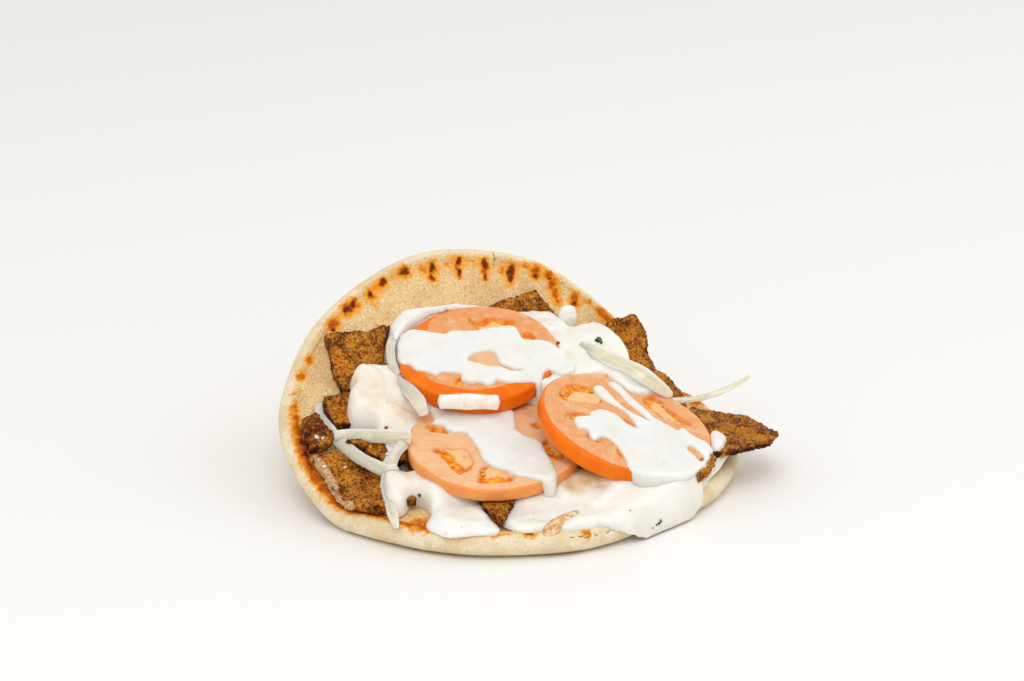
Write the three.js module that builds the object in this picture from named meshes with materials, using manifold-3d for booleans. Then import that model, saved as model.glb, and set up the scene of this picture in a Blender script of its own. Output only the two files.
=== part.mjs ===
// An open gyro: a pita folded loosely around a heap of sliced meat, onion, tzatziki and tomato.
// Millimetres, +Z up. The pita's front half lies flat on the table and its back half stands up as a flap.
// While it is built, the origin is the middle of the pita disc on the table, X runs along the fold
// and Y towards the flap. At the end the whole food is moved so that its box stands on the origin.

import * as THREE from 'three';
import { mergeVertices } from 'three/addons/utils/BufferGeometryUtils.js';
import Module from 'manifold-3d';

const wasm = await Module();
wasm.setup();

// ---- Driving dimensions ----

const GAP = 0.3; // clearance between touching pieces

const BREAD_RADIUS = 92.4;
const BREAD_THICKNESS = 9.1;
const BREAD_ROUNDING = 0.9; // share of the radius where the rim starts to round over
const BREAD_RIM_WALL = 3; // height of the blunt edge it ends in
const FOLD_START = -5; // y where the bread leaves the table
const FOLD_RADIUS = 20.3; // at mid-thickness
const FOLD_ANGLE = THREE.MathUtils.degToRad(41.2); // lift of the flap at x = 0
const FOLD_SPREAD = 0.505; // how much steeper the flap gets towards the right end

const TOMATO_SKIN_BULGE = 0.5;
const TOMATO_SKIN_HEIGHT = 0.56; // share of the thickness that the skin is upright over

const MEAT_THICKNESS = 4;
const ONION_THICKNESS = 1.8;
const MEAT_EDGE_DROP = 0.5; // how much thinner a slice is at its edge
const MEAT_EDGE_STEP = 9; // spacing of the points along a broken edge
const MEAT_EDGE_STRAY = 1;
const ONION_WIDTH = 5;
const ONION_STEP = 7; // spacing of the sections along a strip
const ONION_TIP = 0.6; // width of a strip's cut end over its full width
const COATING_THICKNESS = 2.4; // tzatziki lying on a tomato slice
const COATING_LIFT = GAP + 0.05; // over the tomato's face, clear of it
const POOL_MIN_DEPTH = 3;
const POOL_EDGE_DROP = 0.85; // share of the depth lost, squared, at the edge of a pool

// ---- Surfaces ----

const HALF_BREAD = BREAD_THICKNESS / 2;

function foldAngle(a) {
  return FOLD_ANGLE * (1 + FOLD_SPREAD * a / BREAD_RADIUS);
}

// A point of the folded bread: a along the fold, b across it on the flat disc, h above mid-thickness.
function onBread(a, b, h) {
  const full = foldAngle(a);
  const turned = THREE.MathUtils.clamp((b - FOLD_START) / FOLD_RADIUS, 0, full);
  const straight = Math.max(b - FOLD_START - FOLD_RADIUS * full, 0);
  const flat = Math.min(b, FOLD_START);
  const y = flat + FOLD_RADIUS * Math.sin(turned) + straight * Math.cos(full) - h * Math.sin(turned);
  const z = FOLD_RADIUS * (1 - Math.cos(turned)) + straight * Math.sin(full) + h * Math.cos(turned);
  return new THREE.Vector3(a, y, z + HALF_BREAD);
}

// Height of the bread's upper face over the table at a place in plan.
function breadTopAt(x, y) {
  const full = foldAngle(x);
  const innerRadius = FOLD_RADIUS - HALF_BREAD;
  const reach = y - FOLD_START;
  if (reach <= 0) {
    return BREAD_THICKNESS;
  }
  if (reach < innerRadius * Math.sin(full)) {
    const turned = Math.asin(reach / innerRadius);
    return HALF_BREAD + FOLD_RADIUS - innerRadius * Math.cos(turned);
  }
  const foot = HALF_BREAD + FOLD_RADIUS - innerRadius * Math.cos(full);
  return foot + (reach - innerRadius * Math.sin(full)) * Math.tan(full);
}

// The top of the heap under the tomatoes, blended from the heights at a few places.
const HEAP_SPREAD = 14;
const HEAP_HEIGHTS = [
  [0, 14, 40],
  [0, 40, 45],
  [-42, 32, 46],
  [-56, 25, 39],
  [-62, 17, 29],
  [-48, 6, 25],
  [-24, -8, 29],
  [-60, -10, 18],
  [-31, -28, 20],
  [-74, -45, 11],
  [-45, -66, 11.5],
  [-14, -52, 17],
  [-8, -72, 14],
  [14, -58, 22],
  [12, -88, 12],
  [34, -70, 14],
  [54, -42, 21],
  [18, -18, 38],
  [30, -24, 38],
  [42, -34, 31],
  [44, 12, 43],
  [66, 14, 42],
  [66, -10, 35],
];

function heapTopAt(x, y) {
  let total = 0;
  let weights = 0;
  for (const [px, py, height] of HEAP_HEIGHTS) {
    const far = ((x - px) ** 2 + (y - py) ** 2) / HEAP_SPREAD ** 2;
    const weight = Math.exp(-far);
    total += weight * height;
    weights += weight;
  }
  return total / weights;
}

// ---- Shapes ----

// A repeatable stray from -1 to 1 for uneven edges.
function stray(seed) {
  const wave = Math.sin(seed * 12.9898 + 4.1414) * 43758.5453;
  return 2 * (wave - Math.floor(wave)) - 1;
}

function circle(radius, count) {
  const turn = 2 * Math.PI / count;
  return Array.from({ length: count }, (_, i) => [radius * Math.cos(i * turn), radius * Math.sin(i * turn)]);
}

// A smooth closed outline through a few points.
function smooth(points, count) {
  const curve = new THREE.CatmullRomCurve3(points.map(([u, v]) => new THREE.Vector3(u, v, 0)), true);
  return curve.getSpacedPoints(count).slice(0, count).map(({ x, y }) => [x, y]);
}

// A broken-edged outline: straight sides between corners, with each point a little astray.
function ragged(corners, step, roughness, seed) {
  const points = [];
  corners.forEach(([u, v], i) => {
    const [nextU, nextV] = corners[(i + 1) % corners.length];
    const count = Math.max(1, Math.round(Math.hypot(nextU - u, nextV - v) / step));
    for (let k = 0; k < count; k += 1) {
      const drift = (k === 0 ? 0.3 : 1) * roughness;
      const along = k / count;
      const index = seed + points.length;
      points.push([
        u + (nextU - u) * along + drift * stray(index),
        v + (nextV - v) * along + drift * stray(index + 50),
      ]);
    }
  });
  return points;
}

// The same outline running anticlockwise, so that the body over it faces outwards.
function anticlockwise(outline) {
  const twiceArea = outline.reduce((sum, [u, v], i) => {
    const [nextU, nextV] = outline[(i + 1) % outline.length];
    return sum + u * nextV - nextU * v;
  }, 0);
  return twiceArea > 0 ? outline : [...outline].reverse();
}

function centreOf(outline) {
  const sum = outline.reduce(([u, v], [pu, pv]) => [u + pu, v + pv], [0, 0]);
  return [sum[0] / outline.length, sum[1] / outline.length];
}

// A closed body over an outline: rings of points from the middle to the edge, above and below.
// topAt and bottomAt give heights at (u, v, share of the way out); place puts (u, v, height) in space.
function layer({ outline: drawn, rings, topAt, bottomAt, place, margin = 0 }) {
  const outline = anticlockwise(drawn);
  const [midU, midV] = centreOf(outline);
  const count = outline.length;
  const vertices = [];
  const triangles = [];
  const addPoint = (u, v, share, above) => {
    const height = above ? topAt(u, v, share) + margin : bottomAt(u, v, share) - margin;
    vertices.push(...place(u, v, height).toArray());
    return vertices.length / 3 - 1;
  };
  const addRing = (share, above) => outline.map(([u, v]) => {
    const reach = Math.hypot(u - midU, v - midV);
    const scale = share * (1 + margin / reach);
    return addPoint(midU + (u - midU) * scale, midV + (v - midV) * scale, share, above);
  });
  const join = (from, to) => {
    for (let i = 0; i < count; i += 1) {
      const j = (i + 1) % count;
      triangles.push(from[i], to[i], to[j], from[i], to[j], from[j]);
    }
  };
  const upper = rings.map((share) => addRing(share, true));
  const lower = rings.map((share) => addRing(share, false)).reverse();
  const bands = [...upper, ...lower];
  for (let k = 1; k < bands.length; k += 1) {
    join(bands[k - 1], bands[k]);
  }
  const top = addPoint(midU, midV, 0, true);
  const bottom = addPoint(midU, midV, 0, false);
  for (let i = 0; i < count; i += 1) {
    const j = (i + 1) % count;
    triangles.push(top, bands[0][i], bands[0][j]);
    triangles.push(bottom, bands[bands.length - 1][j], bands[bands.length - 1][i]);
  }
  const geometry = new THREE.BufferGeometry();
  geometry.setAttribute('position', new THREE.Float32BufferAttribute(vertices, 3));
  geometry.setIndex(triangles);
  return geometry;
}

// A flat strip along a smooth path, like a cut piece of onion, with its broad face turned to one side.
function strip({ path, width, thickness, facing, margin = 0 }) {
  const curve = new THREE.CatmullRomCurve3(path.map((p) => new THREE.Vector3(...p)));
  const steps = Math.max(4, Math.round(curve.getLength() / ONION_STEP));
  const vertices = [];
  const triangles = [];
  for (let i = 0; i <= steps; i += 1) {
    const t = i / steps;
    const along = curve.getTangentAt(t);
    const side = new THREE.Vector3(...facing).cross(along).normalize();
    const up = along.clone().cross(side);
    const taper = i === 0 || i === steps ? ONION_TIP : 1;
    const reach = i === 0 ? -margin : i === steps ? margin : 0;
    const middle = curve.getPointAt(t).addScaledVector(along, reach);
    const halfWidth = taper * width / 2 + margin;
    const halfThickness = thickness / 2 + margin;
    for (const [s, n] of [[-1, -1], [1, -1], [1, 1], [-1, 1]]) {
      const corner = middle.clone().addScaledVector(side, s * halfWidth);
      vertices.push(...corner.addScaledVector(up, n * halfThickness).toArray());
    }
  }
  for (let i = 0; i < steps; i += 1) {
    for (let k = 0; k < 4; k += 1) {
      const next = (k + 1) % 4;
      const near = 4 * i;
      const far = near + 4;
      triangles.push(near + k, near + next, far + next, near + k, far + next, far + k);
    }
  }
  const last = 4 * steps;
  triangles.push(0, 2, 1, 0, 3, 2, last, last + 1, last + 2, last, last + 2, last + 3);
  const geometry = new THREE.BufferGeometry();
  geometry.setAttribute('position', new THREE.Float32BufferAttribute(vertices, 3));
  geometry.setIndex(triangles);
  return geometry;
}

// ---- Fitting the pieces together ----

function toSolid(shape) {
  if (!shape.isBufferGeometry) {
    return shape; // joined already
  }
  const merged = mergeVertices(shape);
  return new wasm.Manifold(new wasm.Mesh({
    numProp: 3,
    vertProperties: merged.attributes.position.array,
    triVerts: Uint32Array.from(merged.index.array),
  }));
}

function toGeometry(solid) {
  const { vertProperties, triVerts } = solid.getMesh();
  const geometry = new THREE.BufferGeometry();
  geometry.setAttribute('position', new THREE.BufferAttribute(vertProperties, 3));
  geometry.setIndex(new THREE.BufferAttribute(triVerts, 1));
  const flat = geometry.toNonIndexed();
  flat.computeVertexNormals();
  return flat;
}

const gyro = new THREE.Group();
const taken = []; // every placed piece, grown by the gap

// Adds a piece after cutting away what earlier pieces already fill; loose offcuts are dropped.
function addPiece(name, build, material) {
  let solid = toSolid(build(0));
  for (const other of taken) {
    solid = solid.subtract(other);
  }
  const [largest] = solid.decompose().sort((p, q) => q.volume() - p.volume());
  taken.push(toSolid(build(GAP)));
  const mesh = new THREE.Mesh(toGeometry(largest), material);
  mesh.name = name;
  gyro.add(mesh);
}

// ---- Pita ----

const pitaMaterial = new THREE.MeshStandardMaterial({ color: 0xe6cfa6, roughness: 0.85, metalness: 0 });

function pita(margin) {
  const rounding = (share) => Math.max(0, (share - BREAD_ROUNDING) / (1 - BREAD_ROUNDING));
  const half = (share) => HALF_BREAD - (HALF_BREAD - BREAD_RIM_WALL / 2) * rounding(share) ** 2;
  return layer({
    outline: circle(BREAD_RADIUS, 48),
    rings: [0.15, 0.3, 0.45, 0.6, 0.75, BREAD_ROUNDING, 0.96, 1],
    topAt: (u, v, share) => half(share),
    bottomAt: (u, v, share) => -half(share),
    place: onBread,
    margin,
  });
}

addPiece('pita', pita, pitaMaterial);

// ---- Tomato slices ----

const tomatoMaterial = new THREE.MeshStandardMaterial({ color: 0xe8703c, roughness: 0.25, metalness: 0 });

// Each slice: centre of its top face, radius, yaw and tilt in degrees, thickness, droop of its front edge.
const TOMATOES = [
  { centre: [-0.5, 13.2, 44], radius: 31.8, yaw: -39.8, tilt: 11.9, thickness: 6.5, droop: 2.5 },
  { centre: [-31.3, -25.5, 24], radius: 32.6, yaw: -39.2, tilt: 8.9, thickness: 5.5, droop: 0 },
  { centre: [11, -57, 29], radius: 32.6, yaw: 17, tilt: 20.8, thickness: 6, droop: 0 },
];
const DROOP_START = -14; // where the droop begins, along the slice's own up-slope axis

function onTomato({ centre, radius, yaw, tilt, droop }) {
  const turn = new THREE.Euler(THREE.MathUtils.degToRad(tilt), 0, THREE.MathUtils.degToRad(yaw), 'ZXY');
  return (u, v, h) => {
    const past = Math.max(0, DROOP_START - v) / (radius + DROOP_START);
    const point = new THREE.Vector3(u, v, h - droop * past ** 2).applyEuler(turn);
    return point.add(new THREE.Vector3(...centre));
  };
}

function tomato(slice) {
  const skin = (share) => (share === 1 ? TOMATO_SKIN_HEIGHT : 1) * slice.thickness / 2;
  return (margin) => layer({
    outline: circle(slice.radius + TOMATO_SKIN_BULGE, 32),
    rings: [0.4, 0.75, 0.97, 1],
    topAt: (u, v, share) => skin(share) - slice.thickness / 2,
    bottomAt: (u, v, share) => -skin(share) - slice.thickness / 2,
    place: onTomato(slice),
    margin,
  });
}

TOMATOES.forEach((slice, i) => addPiece(`tomato_${i + 1}`, tomato(slice), tomatoMaterial));

// ---- Meat ----

const meatMaterial = new THREE.MeshStandardMaterial({ color: 0x8a4e22, roughness: 0.75, metalness: 0 });

// Each slice: corners on the bread as if it lay open, and the height of its underside over the bread.
const MEATS = [
  { corners: [[-42, 74], [-10, 62], [-22, 44], [-53, 46]], lift: 0.5 },
  { corners: [[-62, 48], [-50, 45], [-42, 28], [-61, 30], [-67, 35]], lift: 1.5 },
  { corners: [[-76, 42], [-68, 43], [-69, 29], [-75, 26], [-83, 28]], lift: 0.8 },
  { corners: [[-84, 24], [-76, 23], [-58, 8], [-60, -8], [-70, -24], [-85, -19], [-91, -8]], lift: 1 },
  { corners: [[-71, 22], [-60, 18], [-52, 3], [-63, 2]], lift: 6 },
  { corners: [[-56, 12], [-42, 10], [-38, -8], [-58, -10]], lift: 6.2 },
  { corners: [[-60, -60], [-50, -54], [-28, -40], [-38, -24], [-56, -45]], lift: 0.8 },
  { corners: [[-55, -39], [-45, -48], [-26, -34], [-36, -22]], lift: 5.2 },
  { corners: [[24, 58], [48, 58], [51, 51], [52, 42], [44, 28], [16, 38]], lift: 0.6 },
  { corners: [[72, 34], [87, 33], [88, 23], [70, -34], [62, -34], [64, 0]], lift: 2.4 },
  { corners: [[28, -50], [62, -44], [70, -64], [66, -86], [56, -91], [34, -82]], lift: 5 },
  { corners: [[-20, -46], [4, -40], [12, -60], [-12, -70]], lift: 7.5 },
];

const SEEDS_PER_SLICE = 17; // keeps the strays of one slice apart from the next one's

function meat({ corners, lift }, index) {
  const base = HALF_BREAD + lift;
  return (margin) => layer({
    outline: ragged(corners, MEAT_EDGE_STEP, MEAT_EDGE_STRAY, index * SEEDS_PER_SLICE),
    rings: [0.55, 1],
    topAt: (u, v, share) => base + MEAT_THICKNESS - MEAT_EDGE_DROP * share,
    bottomAt: () => base,
    place: onBread,
    margin,
  });
}

MEATS.forEach((slice, i) => addPiece(`meat_${i + 1}`, meat(slice, i), meatMaterial));

// ---- Onion ----

const onionMaterial = new THREE.MeshStandardMaterial({ color: 0xe6e4c8, roughness: 0.3, metalness: 0 });

// Each strip: waypoints and, where it isn't a plain flat one, its width, thickness and facing.
const ONIONS = [
  {
    path: [[18, 42, 56.5], [3, 43, 54], [-11, 46, 52.5], [-24, 39, 48.5], [-31, 29, 43]],
    width: 8,
    facing: [-0.5, -0.5, 0.6],
  },
  {
    path: [[-70.5, 31.5, 36.5], [-77, 20, 30.5], [-77, 8.5, 25.5], [-75, -0.5, 21.5], [-69, -11, 19]],
    facing: [-0.5, -0.3, 0.8],
  },
  { path: [[-74, 13, 28], [-63.5, 6, 26.5], [-48.5, 1.5, 25]], facing: [-0.5, -0.5, 0.7] },
  {
    path: [[-52, -2, 24], [-66, -8, 20], [-80.5, -20, 15.5], [-88, -33.5, 11.5]],
    width: 4,
    facing: [-0.5, -0.3, 0.8],
  },
  { path: [[-42, 26, 43.5], [-43.5, 15, 39.5], [-42, 7, 34]], facing: [-0.6, -0.3, 0.7] },
  {
    path: [[21.5, -7, 44], [30, -22, 40.5], [40, -34, 33.5], [56, -38, 25]],
    width: 7,
    facing: [-0.4, -0.3, 0.8],
  },
  { path: [[54, -42, 22.5], [68, -42.5, 19.5], [81, -42, 19], [93, -41, 19]], width: 3.5 },
  {
    path: [[15, -90, 14], [25, -89, 15.5], [36, -85, 17]],
    width: 6,
    thickness: 3,
    facing: [0.1, -0.6, 0.7],
  },
  {
    path: [[-34, -1, 34.5], [-25.5, -8.5, 34], [-17.5, -15.5, 33.5]],
    width: 7,
    thickness: 3.5,
    facing: [-0.5, -0.5, 0.6],
  },
];

ONIONS.forEach(({ path, width = ONION_WIDTH, thickness = ONION_THICKNESS, facing = [0, 0, 1] }, i) => {
  addPiece(`onion_${i + 1}`, (margin) => strip({ path, width, thickness, facing, margin }), onionMaterial);
});

// ---- Tzatziki ----

const sauceMaterial = new THREE.MeshStandardMaterial({ color: 0xf4f2ea, roughness: 0.3, metalness: 0 });

// The top of a pool of thick sauce falls away towards its edge like the top of a drop.
function domed(share) {
  return Math.sqrt(1 - POOL_EDGE_DROP * share ** 3);
}

// Sauce lying on a tomato slice, outlined on the slice's own face.
function coating(slice, outline) {
  return (margin) => layer({
    outline: smooth(outline, 18),
    rings: [0.8, 1],
    topAt: (u, v, share) => COATING_LIFT + COATING_THICKNESS * domed(share),
    bottomAt: () => COATING_LIFT,
    place: onTomato(slice),
    margin,
  });
}

// One outline for each slice, in slice order.
const COATINGS = [
  [[-31, 2], [-25, 14], [-12, 14], [3, 18], [14, 15], [20, 4], [30, -4], [18, -16], [4, -22], [-10, -16]],
  [[-20, 22], [-6, 26], [10, 24], [13, 8], [20, -10], [17, -26], [5, -24], [-6, -2]],
  [[-20, 10], [-6, 12], [10, 20], [20, 16], [14, 0], [20, -18], [12, -29], [-10, -24], [-20, -14], [-12, 2]],
];

COATINGS.forEach((outline, i) => {
  addPiece(`sauce_on_tomato_${i + 1}`, coating(TOMATOES[i], outline), sauceMaterial);
});

// Two spoon drops: one on the flap, one on the back edge of the right-hand tomato.
function drop(centre, size, turn) {
  return (margin) => {
    const ball = new THREE.SphereGeometry(1, 12, 8);
    ball.deleteAttribute('normal');
    ball.deleteAttribute('uv');
    ball.scale(...size.map((s) => s + margin));
    ball.rotateX(turn[0]);
    ball.rotateZ(turn[1]);
    ball.translate(...centre);
    return mergeVertices(ball, 0.001);
  };
}

addPiece('sauce_drop_1', drop([56.5, 23, 41.5], [5, 3, 6], [0.5, -0.3]), sauceMaterial);
addPiece('sauce_drop_2', drop([28, -37, 36.2], [9, 5, 2.4], [0.36, -0.75]), sauceMaterial);

// The bed of sauce that the tomatoes lie in; it laps over the front rim of the bread down to the table.
const BED_OUTLINE = [
  [-80, -40], [-79, -56], [-68, -64], [-59, -62], [-52, -56], [-52, -70], [-44, -82], [-28, -88],
  [-20, -93], [-4, -96], [14, -93], [24, -86], [42, -70], [56, -46], [59, -32], [67, -10], [75, 10],
  [66, 21], [50, 28], [28, 36], [0, 40], [-22, 42], [-42, 39], [-58, 32], [-66, 22], [-62, 5],
  [-74, -12], [-80, -26],
];
const FLAT_FLOOR = GAP + 0.1; // how far the bed lies over the bread where it is flat
const CURVED_FLOOR = 1.6; // and where it is folded, clear of its facets
const SPILL = { centre: [-3, -90, 5.6], size: [20, 8, 5.4] }; // the lap over the rim

function sauceBed(margin) {
  const floorAt = (u, v) => breadTopAt(u, v) + (v > FOLD_START - CURVED_FLOOR ? CURVED_FLOOR : FLAT_FLOOR);
  const bed = layer({
    outline: smooth(BED_OUTLINE, 44),
    rings: [0.25, 0.5, 0.75, 0.92, 1],
    topAt: (u, v, share) => {
      const floor = floorAt(u, v);
      const depth = Math.max(heapTopAt(u, v) - floor, POOL_MIN_DEPTH);
      return floor + depth * domed(share);
    },
    bottomAt: floorAt,
    place: (u, v, h) => new THREE.Vector3(u, v, h),
    margin,
  });
  return toSolid(bed).add(toSolid(drop(SPILL.centre, SPILL.size, [0, 0])(margin)));
}

addPiece('sauce_bed', sauceBed, sauceMaterial);

// ---- Standing on the origin ----

const box = new THREE.Box3().setFromObject(gyro);
const middle = box.getCenter(new THREE.Vector3());
gyro.position.set(-middle.x, -middle.y, -box.min.z);
gyro.updateMatrixWorld(true);

export default gyro;
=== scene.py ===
import math
import random

import bpy
import numpy as np
from mathutils import Matrix, Vector, noise
from mathutils.bvhtree import BVHTree
from mathutils.kdtree import KDTree


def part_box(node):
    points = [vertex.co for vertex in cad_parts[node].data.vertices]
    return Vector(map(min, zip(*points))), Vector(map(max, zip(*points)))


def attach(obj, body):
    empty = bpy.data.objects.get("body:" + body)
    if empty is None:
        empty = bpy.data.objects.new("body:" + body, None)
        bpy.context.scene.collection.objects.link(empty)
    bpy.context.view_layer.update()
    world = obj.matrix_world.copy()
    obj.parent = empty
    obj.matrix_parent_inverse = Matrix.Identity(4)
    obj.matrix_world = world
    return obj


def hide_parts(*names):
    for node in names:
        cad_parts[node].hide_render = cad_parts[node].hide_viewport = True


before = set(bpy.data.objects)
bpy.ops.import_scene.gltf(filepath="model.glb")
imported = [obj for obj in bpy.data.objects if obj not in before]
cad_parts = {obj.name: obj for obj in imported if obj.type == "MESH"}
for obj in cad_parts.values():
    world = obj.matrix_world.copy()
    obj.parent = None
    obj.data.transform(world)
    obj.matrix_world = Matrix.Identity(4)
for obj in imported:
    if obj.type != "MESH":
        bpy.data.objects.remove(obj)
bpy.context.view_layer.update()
bpy.ops.object.select_all(action="DESELECT")

# ---- Pita ----
# One round flatbread of risen dough, about as thick as a finger, with a smooth pale rim.
# Its front half lies flat and its back half is folded up as a flap. The inner face is speckled with
# bran, and a grill has toasted it in short dashes all along the rim.

low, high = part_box("pita")
BREAD_RADIUS = 500 * (high.x - low.x)  # millimetres, like every size below
BREAD_MIDDLE = np.array([(low.x + high.x) / 2, low.y + BREAD_RADIUS / 1000, 0])
HALF_BREAD = 4.55  # half its thickness
RIM_WIDTH = 5.5  # how far in the edge starts to round over
DIP, DIP_DISTANCE, DIP_WIDTH = 0.7, 82, 5  # of the inner face, just inside the rim
FACE_SINK = 0.35  # how much lower the inner face lies than the top of the rim
DENT, DENT_BEARING, DENT_WIDTH = 4, 268, 12  # in the front rim, where the sauce runs over it
FOLD_START = -5  # where the bread leaves the table
FOLD_RADIUS = 20.3  # at mid-thickness
FOLD_ANGLE = math.radians(41.2)
FOLD_SPREAD = 0.505  # how much steeper the flap gets towards the right end


def on_bread(a, b, h):
    """Places on the folded bread: a along the fold, b across it, h over mid-thickness."""
    full = FOLD_ANGLE * (1 + FOLD_SPREAD * a / BREAD_RADIUS)
    turned = np.clip((b - FOLD_START) / FOLD_RADIUS, 0, full)
    straight = np.maximum(b - FOLD_START - FOLD_RADIUS * full, 0)
    y = np.minimum(b, FOLD_START) + FOLD_RADIUS * np.sin(turned)
    y = y + straight * np.cos(full) - h * np.sin(turned)
    z = FOLD_RADIUS * (1 - np.cos(turned)) + straight * np.sin(full) + h * np.cos(turned)
    return np.column_stack([a + 0 * b, y, z + HALF_BREAD])


def bread_top(x, y):
    """Height of the bread's inner face over the table."""
    full = FOLD_ANGLE * (1 + FOLD_SPREAD * x / BREAD_RADIUS)
    inner = FOLD_RADIUS - HALF_BREAD
    reach = np.maximum(y - FOLD_START, 0)
    turned = np.arcsin(np.clip(reach / inner, 0, np.sin(full)))
    past = np.maximum(reach - inner * np.sin(full), 0)
    return HALF_BREAD + FOLD_RADIUS - inner * np.cos(turned) + past * np.tan(full)


def rim_dent(bearing):
    """How far the front rim is pressed in."""
    return DENT * falloff(bearing - DENT_BEARING, DENT_WIDTH)


def points_of(piece):
    """A piece's points in millimetres, measured from the middle of the bread on the table."""
    places = np.empty(3 * len(piece.data.vertices))
    piece.data.vertices.foreach_get("co", places)
    return (places.reshape(-1, 3) - BREAD_MIDDLE) * 1000


def own_points(piece):
    """A piece's points in millimetres from its own origin."""
    return points_of(piece) + BREAD_MIDDLE * 1000


def put_points(piece, places):
    """Moves a piece's points to places measured from the middle of the bread."""
    piece.data.vertices.foreach_set("co", (places / 1000 + BREAD_MIDDLE).ravel())
    piece.data.update()


def lumps(places, size, seed):
    """Uneven growth of dough, meat or sauce: soft hills and hollows of a given size, from -1 to 1."""
    shift = Vector((seed * 3.1, seed * 7.7, -seed * 5.3))
    return np.array([noise.noise(Vector(place) / size + shift) for place in places])


def falloff(away, size):
    """1 at a place, and close to 0 beyond a size away from it."""
    return np.exp(-np.abs(away / size) ** 2.4)


def mark(piece, name, values):
    """Stores how toasted, wet or fleshy each point is, for the finish to read."""
    kind = "FLOAT_VECTOR" if np.ndim(values) == 2 else "FLOAT"
    layer = piece.data.attributes.new(name, kind, "POINT")
    key = "vector" if np.ndim(values) == 2 else "value"
    layer.data.foreach_set(key, np.asarray(values, np.float32).ravel())


def only(piece):
    """Selects one piece alone."""
    bpy.ops.object.select_all(action="DESELECT")
    piece.select_set(True)
    bpy.context.view_layer.objects.active = piece


def set_down(name, mesh):
    """Puts a mesh into the scene as a piece."""
    piece = bpy.data.objects.new(name, mesh)
    bpy.context.scene.collection.objects.link(piece)
    return piece


def edit_whole(piece, *steps):
    """Edits all of a piece's mesh: each step is one of Blender's mesh operators and its settings."""
    only(piece)
    bpy.ops.object.mode_set(mode="EDIT")
    for operator, settings in steps:
        bpy.ops.mesh.select_all(action="SELECT")
        operator(**settings)
    bpy.ops.object.mode_set(mode="OBJECT")


def spun(name, section, steps, gap):
    """A round piece: a section of radii and heights, spun and closed; points under a gap apart merge."""
    mesh = bpy.data.meshes.new(name)
    lines = [(i, i + 1) for i in range(len(section) - 1)]
    mesh.from_pydata([(r / 1000, 0, z / 1000) for r, z in section], lines, [])
    piece = set_down(name, mesh)
    turn = {"steps": steps, "angle": 2 * math.pi, "center": (0, 0, 0), "axis": (0, 0, 1)}
    edit_whole(
        piece, (bpy.ops.mesh.spin, turn), (bpy.ops.mesh.remove_doubles, {"threshold": gap / 1000}),
        (bpy.ops.mesh.normals_make_consistent, {"inside": False}),
    )
    return piece


def add_modifier(piece, kind, **settings):
    """Adds a modifier and applies it at once."""
    only(piece)
    modifier = piece.modifiers.new(kind.lower(), kind)
    for setting, value in settings.items():
        setattr(modifier, setting, value)
    bpy.ops.object.modifier_apply(modifier=modifier.name)


def colour(red, green, blue):
    """A colour as the eye judges it, 0 to 255 a channel, in the light units that a shader takes."""
    return (*[((c / 255 + 0.055) / 1.055) ** 2.4 for c in (red, green, blue)], 1)


def new_finish(name, **sockets):
    """A finish with some of its shader's sockets set."""
    material = bpy.data.materials.new(name)
    material.use_nodes = True
    shader = material.node_tree.nodes["Principled BSDF"]
    for socket, value in sockets.items():
        shader.inputs[socket.replace("_", " ")].default_value = value
    return material


def add_node(material, kind, inputs, **settings):
    """Adds a shader node; an input is a plain value or another node's output."""
    node = material.node_tree.nodes.new("ShaderNode" + kind)
    for setting, value in settings.items():
        setattr(node, setting, value)
    for socket, value in inputs.items():
        if isinstance(value, bpy.types.NodeSocket):
            material.node_tree.links.new(value, node.inputs[socket])
        else:
            node.inputs[socket].default_value = value
    return node


def read_mark(material, name, output="Fac"):
    return add_node(material, "Attribute", {}, attribute_name=name).outputs[output]


def grain(material, places, size, detail=2.0, roughness=0.5, distortion=0.0):
    """Cloudy variation with features of a size in millimetres, over Object coordinates in metres."""
    inputs = {"Vector": places, "Scale": 1000 / size}
    inputs |= {"Detail": detail, "Roughness": roughness, "Distortion": distortion}
    return add_node(material, "TexNoise", inputs).outputs["Fac"]


def object_places(material):
    return add_node(material, "TexCoord", {}).outputs["Object"]


def between(material, value, start, end, low=0.0, high=1.0):
    """Rises smoothly from low to high as the value goes from start to end."""
    inputs = {"Value": value, "From Min": start, "From Max": end, "To Min": low, "To Max": high}
    return add_node(material, "MapRange", inputs, interpolation_type="SMOOTHSTEP").outputs["Result"]


def sums(material, operation, first, second):
    return add_node(material, "Math", {0: first, 1: second}, operation=operation).outputs[0]


def blend(material, share, under, over):
    return add_node(material, "Mix", {0: share, 6: under, 7: over}, data_type="RGBA").outputs[2]


def tinted(material, under, tone, value, start, end, most=1.0):
    """Lays a tone over another, the more the further a value is on its way from start to end."""
    return blend(material, between(material, value, start, end, 0, most), under, tone)


def shades(material, value, stops):
    """Colours that follow a value: pairs of a place from 0 to 1 and a colour."""
    node = add_node(material, "ValToRGB", {0: value})
    for _ in range(len(stops) - 2):
        node.color_ramp.elements.new(0.5)
    for element, (place, tone) in zip(node.color_ramp.elements, stops):
        element.position = place
        element.color = tone
    return node.outputs["Color"]


def wear(material, socket, value):
    """Lets a pattern drive one of the shader's own sockets."""
    shader = material.node_tree.nodes["Principled BSDF"]
    material.node_tree.links.new(value, shader.inputs[socket])


def relief(material, height, depth, strength=1.0):
    """Fine relief in the surface, a depth in millimetres."""
    inputs = {"Height": height, "Distance": depth / 1000, "Strength": strength}
    wear(material, "Normal", add_node(material, "Bump", inputs).outputs["Normal"])


def ready(piece, material, slot, *nodes):
    """Gives a piece its finish and its place in the frame."""
    piece.data.materials.clear()
    piece.data.materials.append(material)
    for face in piece.data.polygons:
        face.use_smooth = True
    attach(piece, "root")
    if nodes:
        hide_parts(*nodes)


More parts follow.
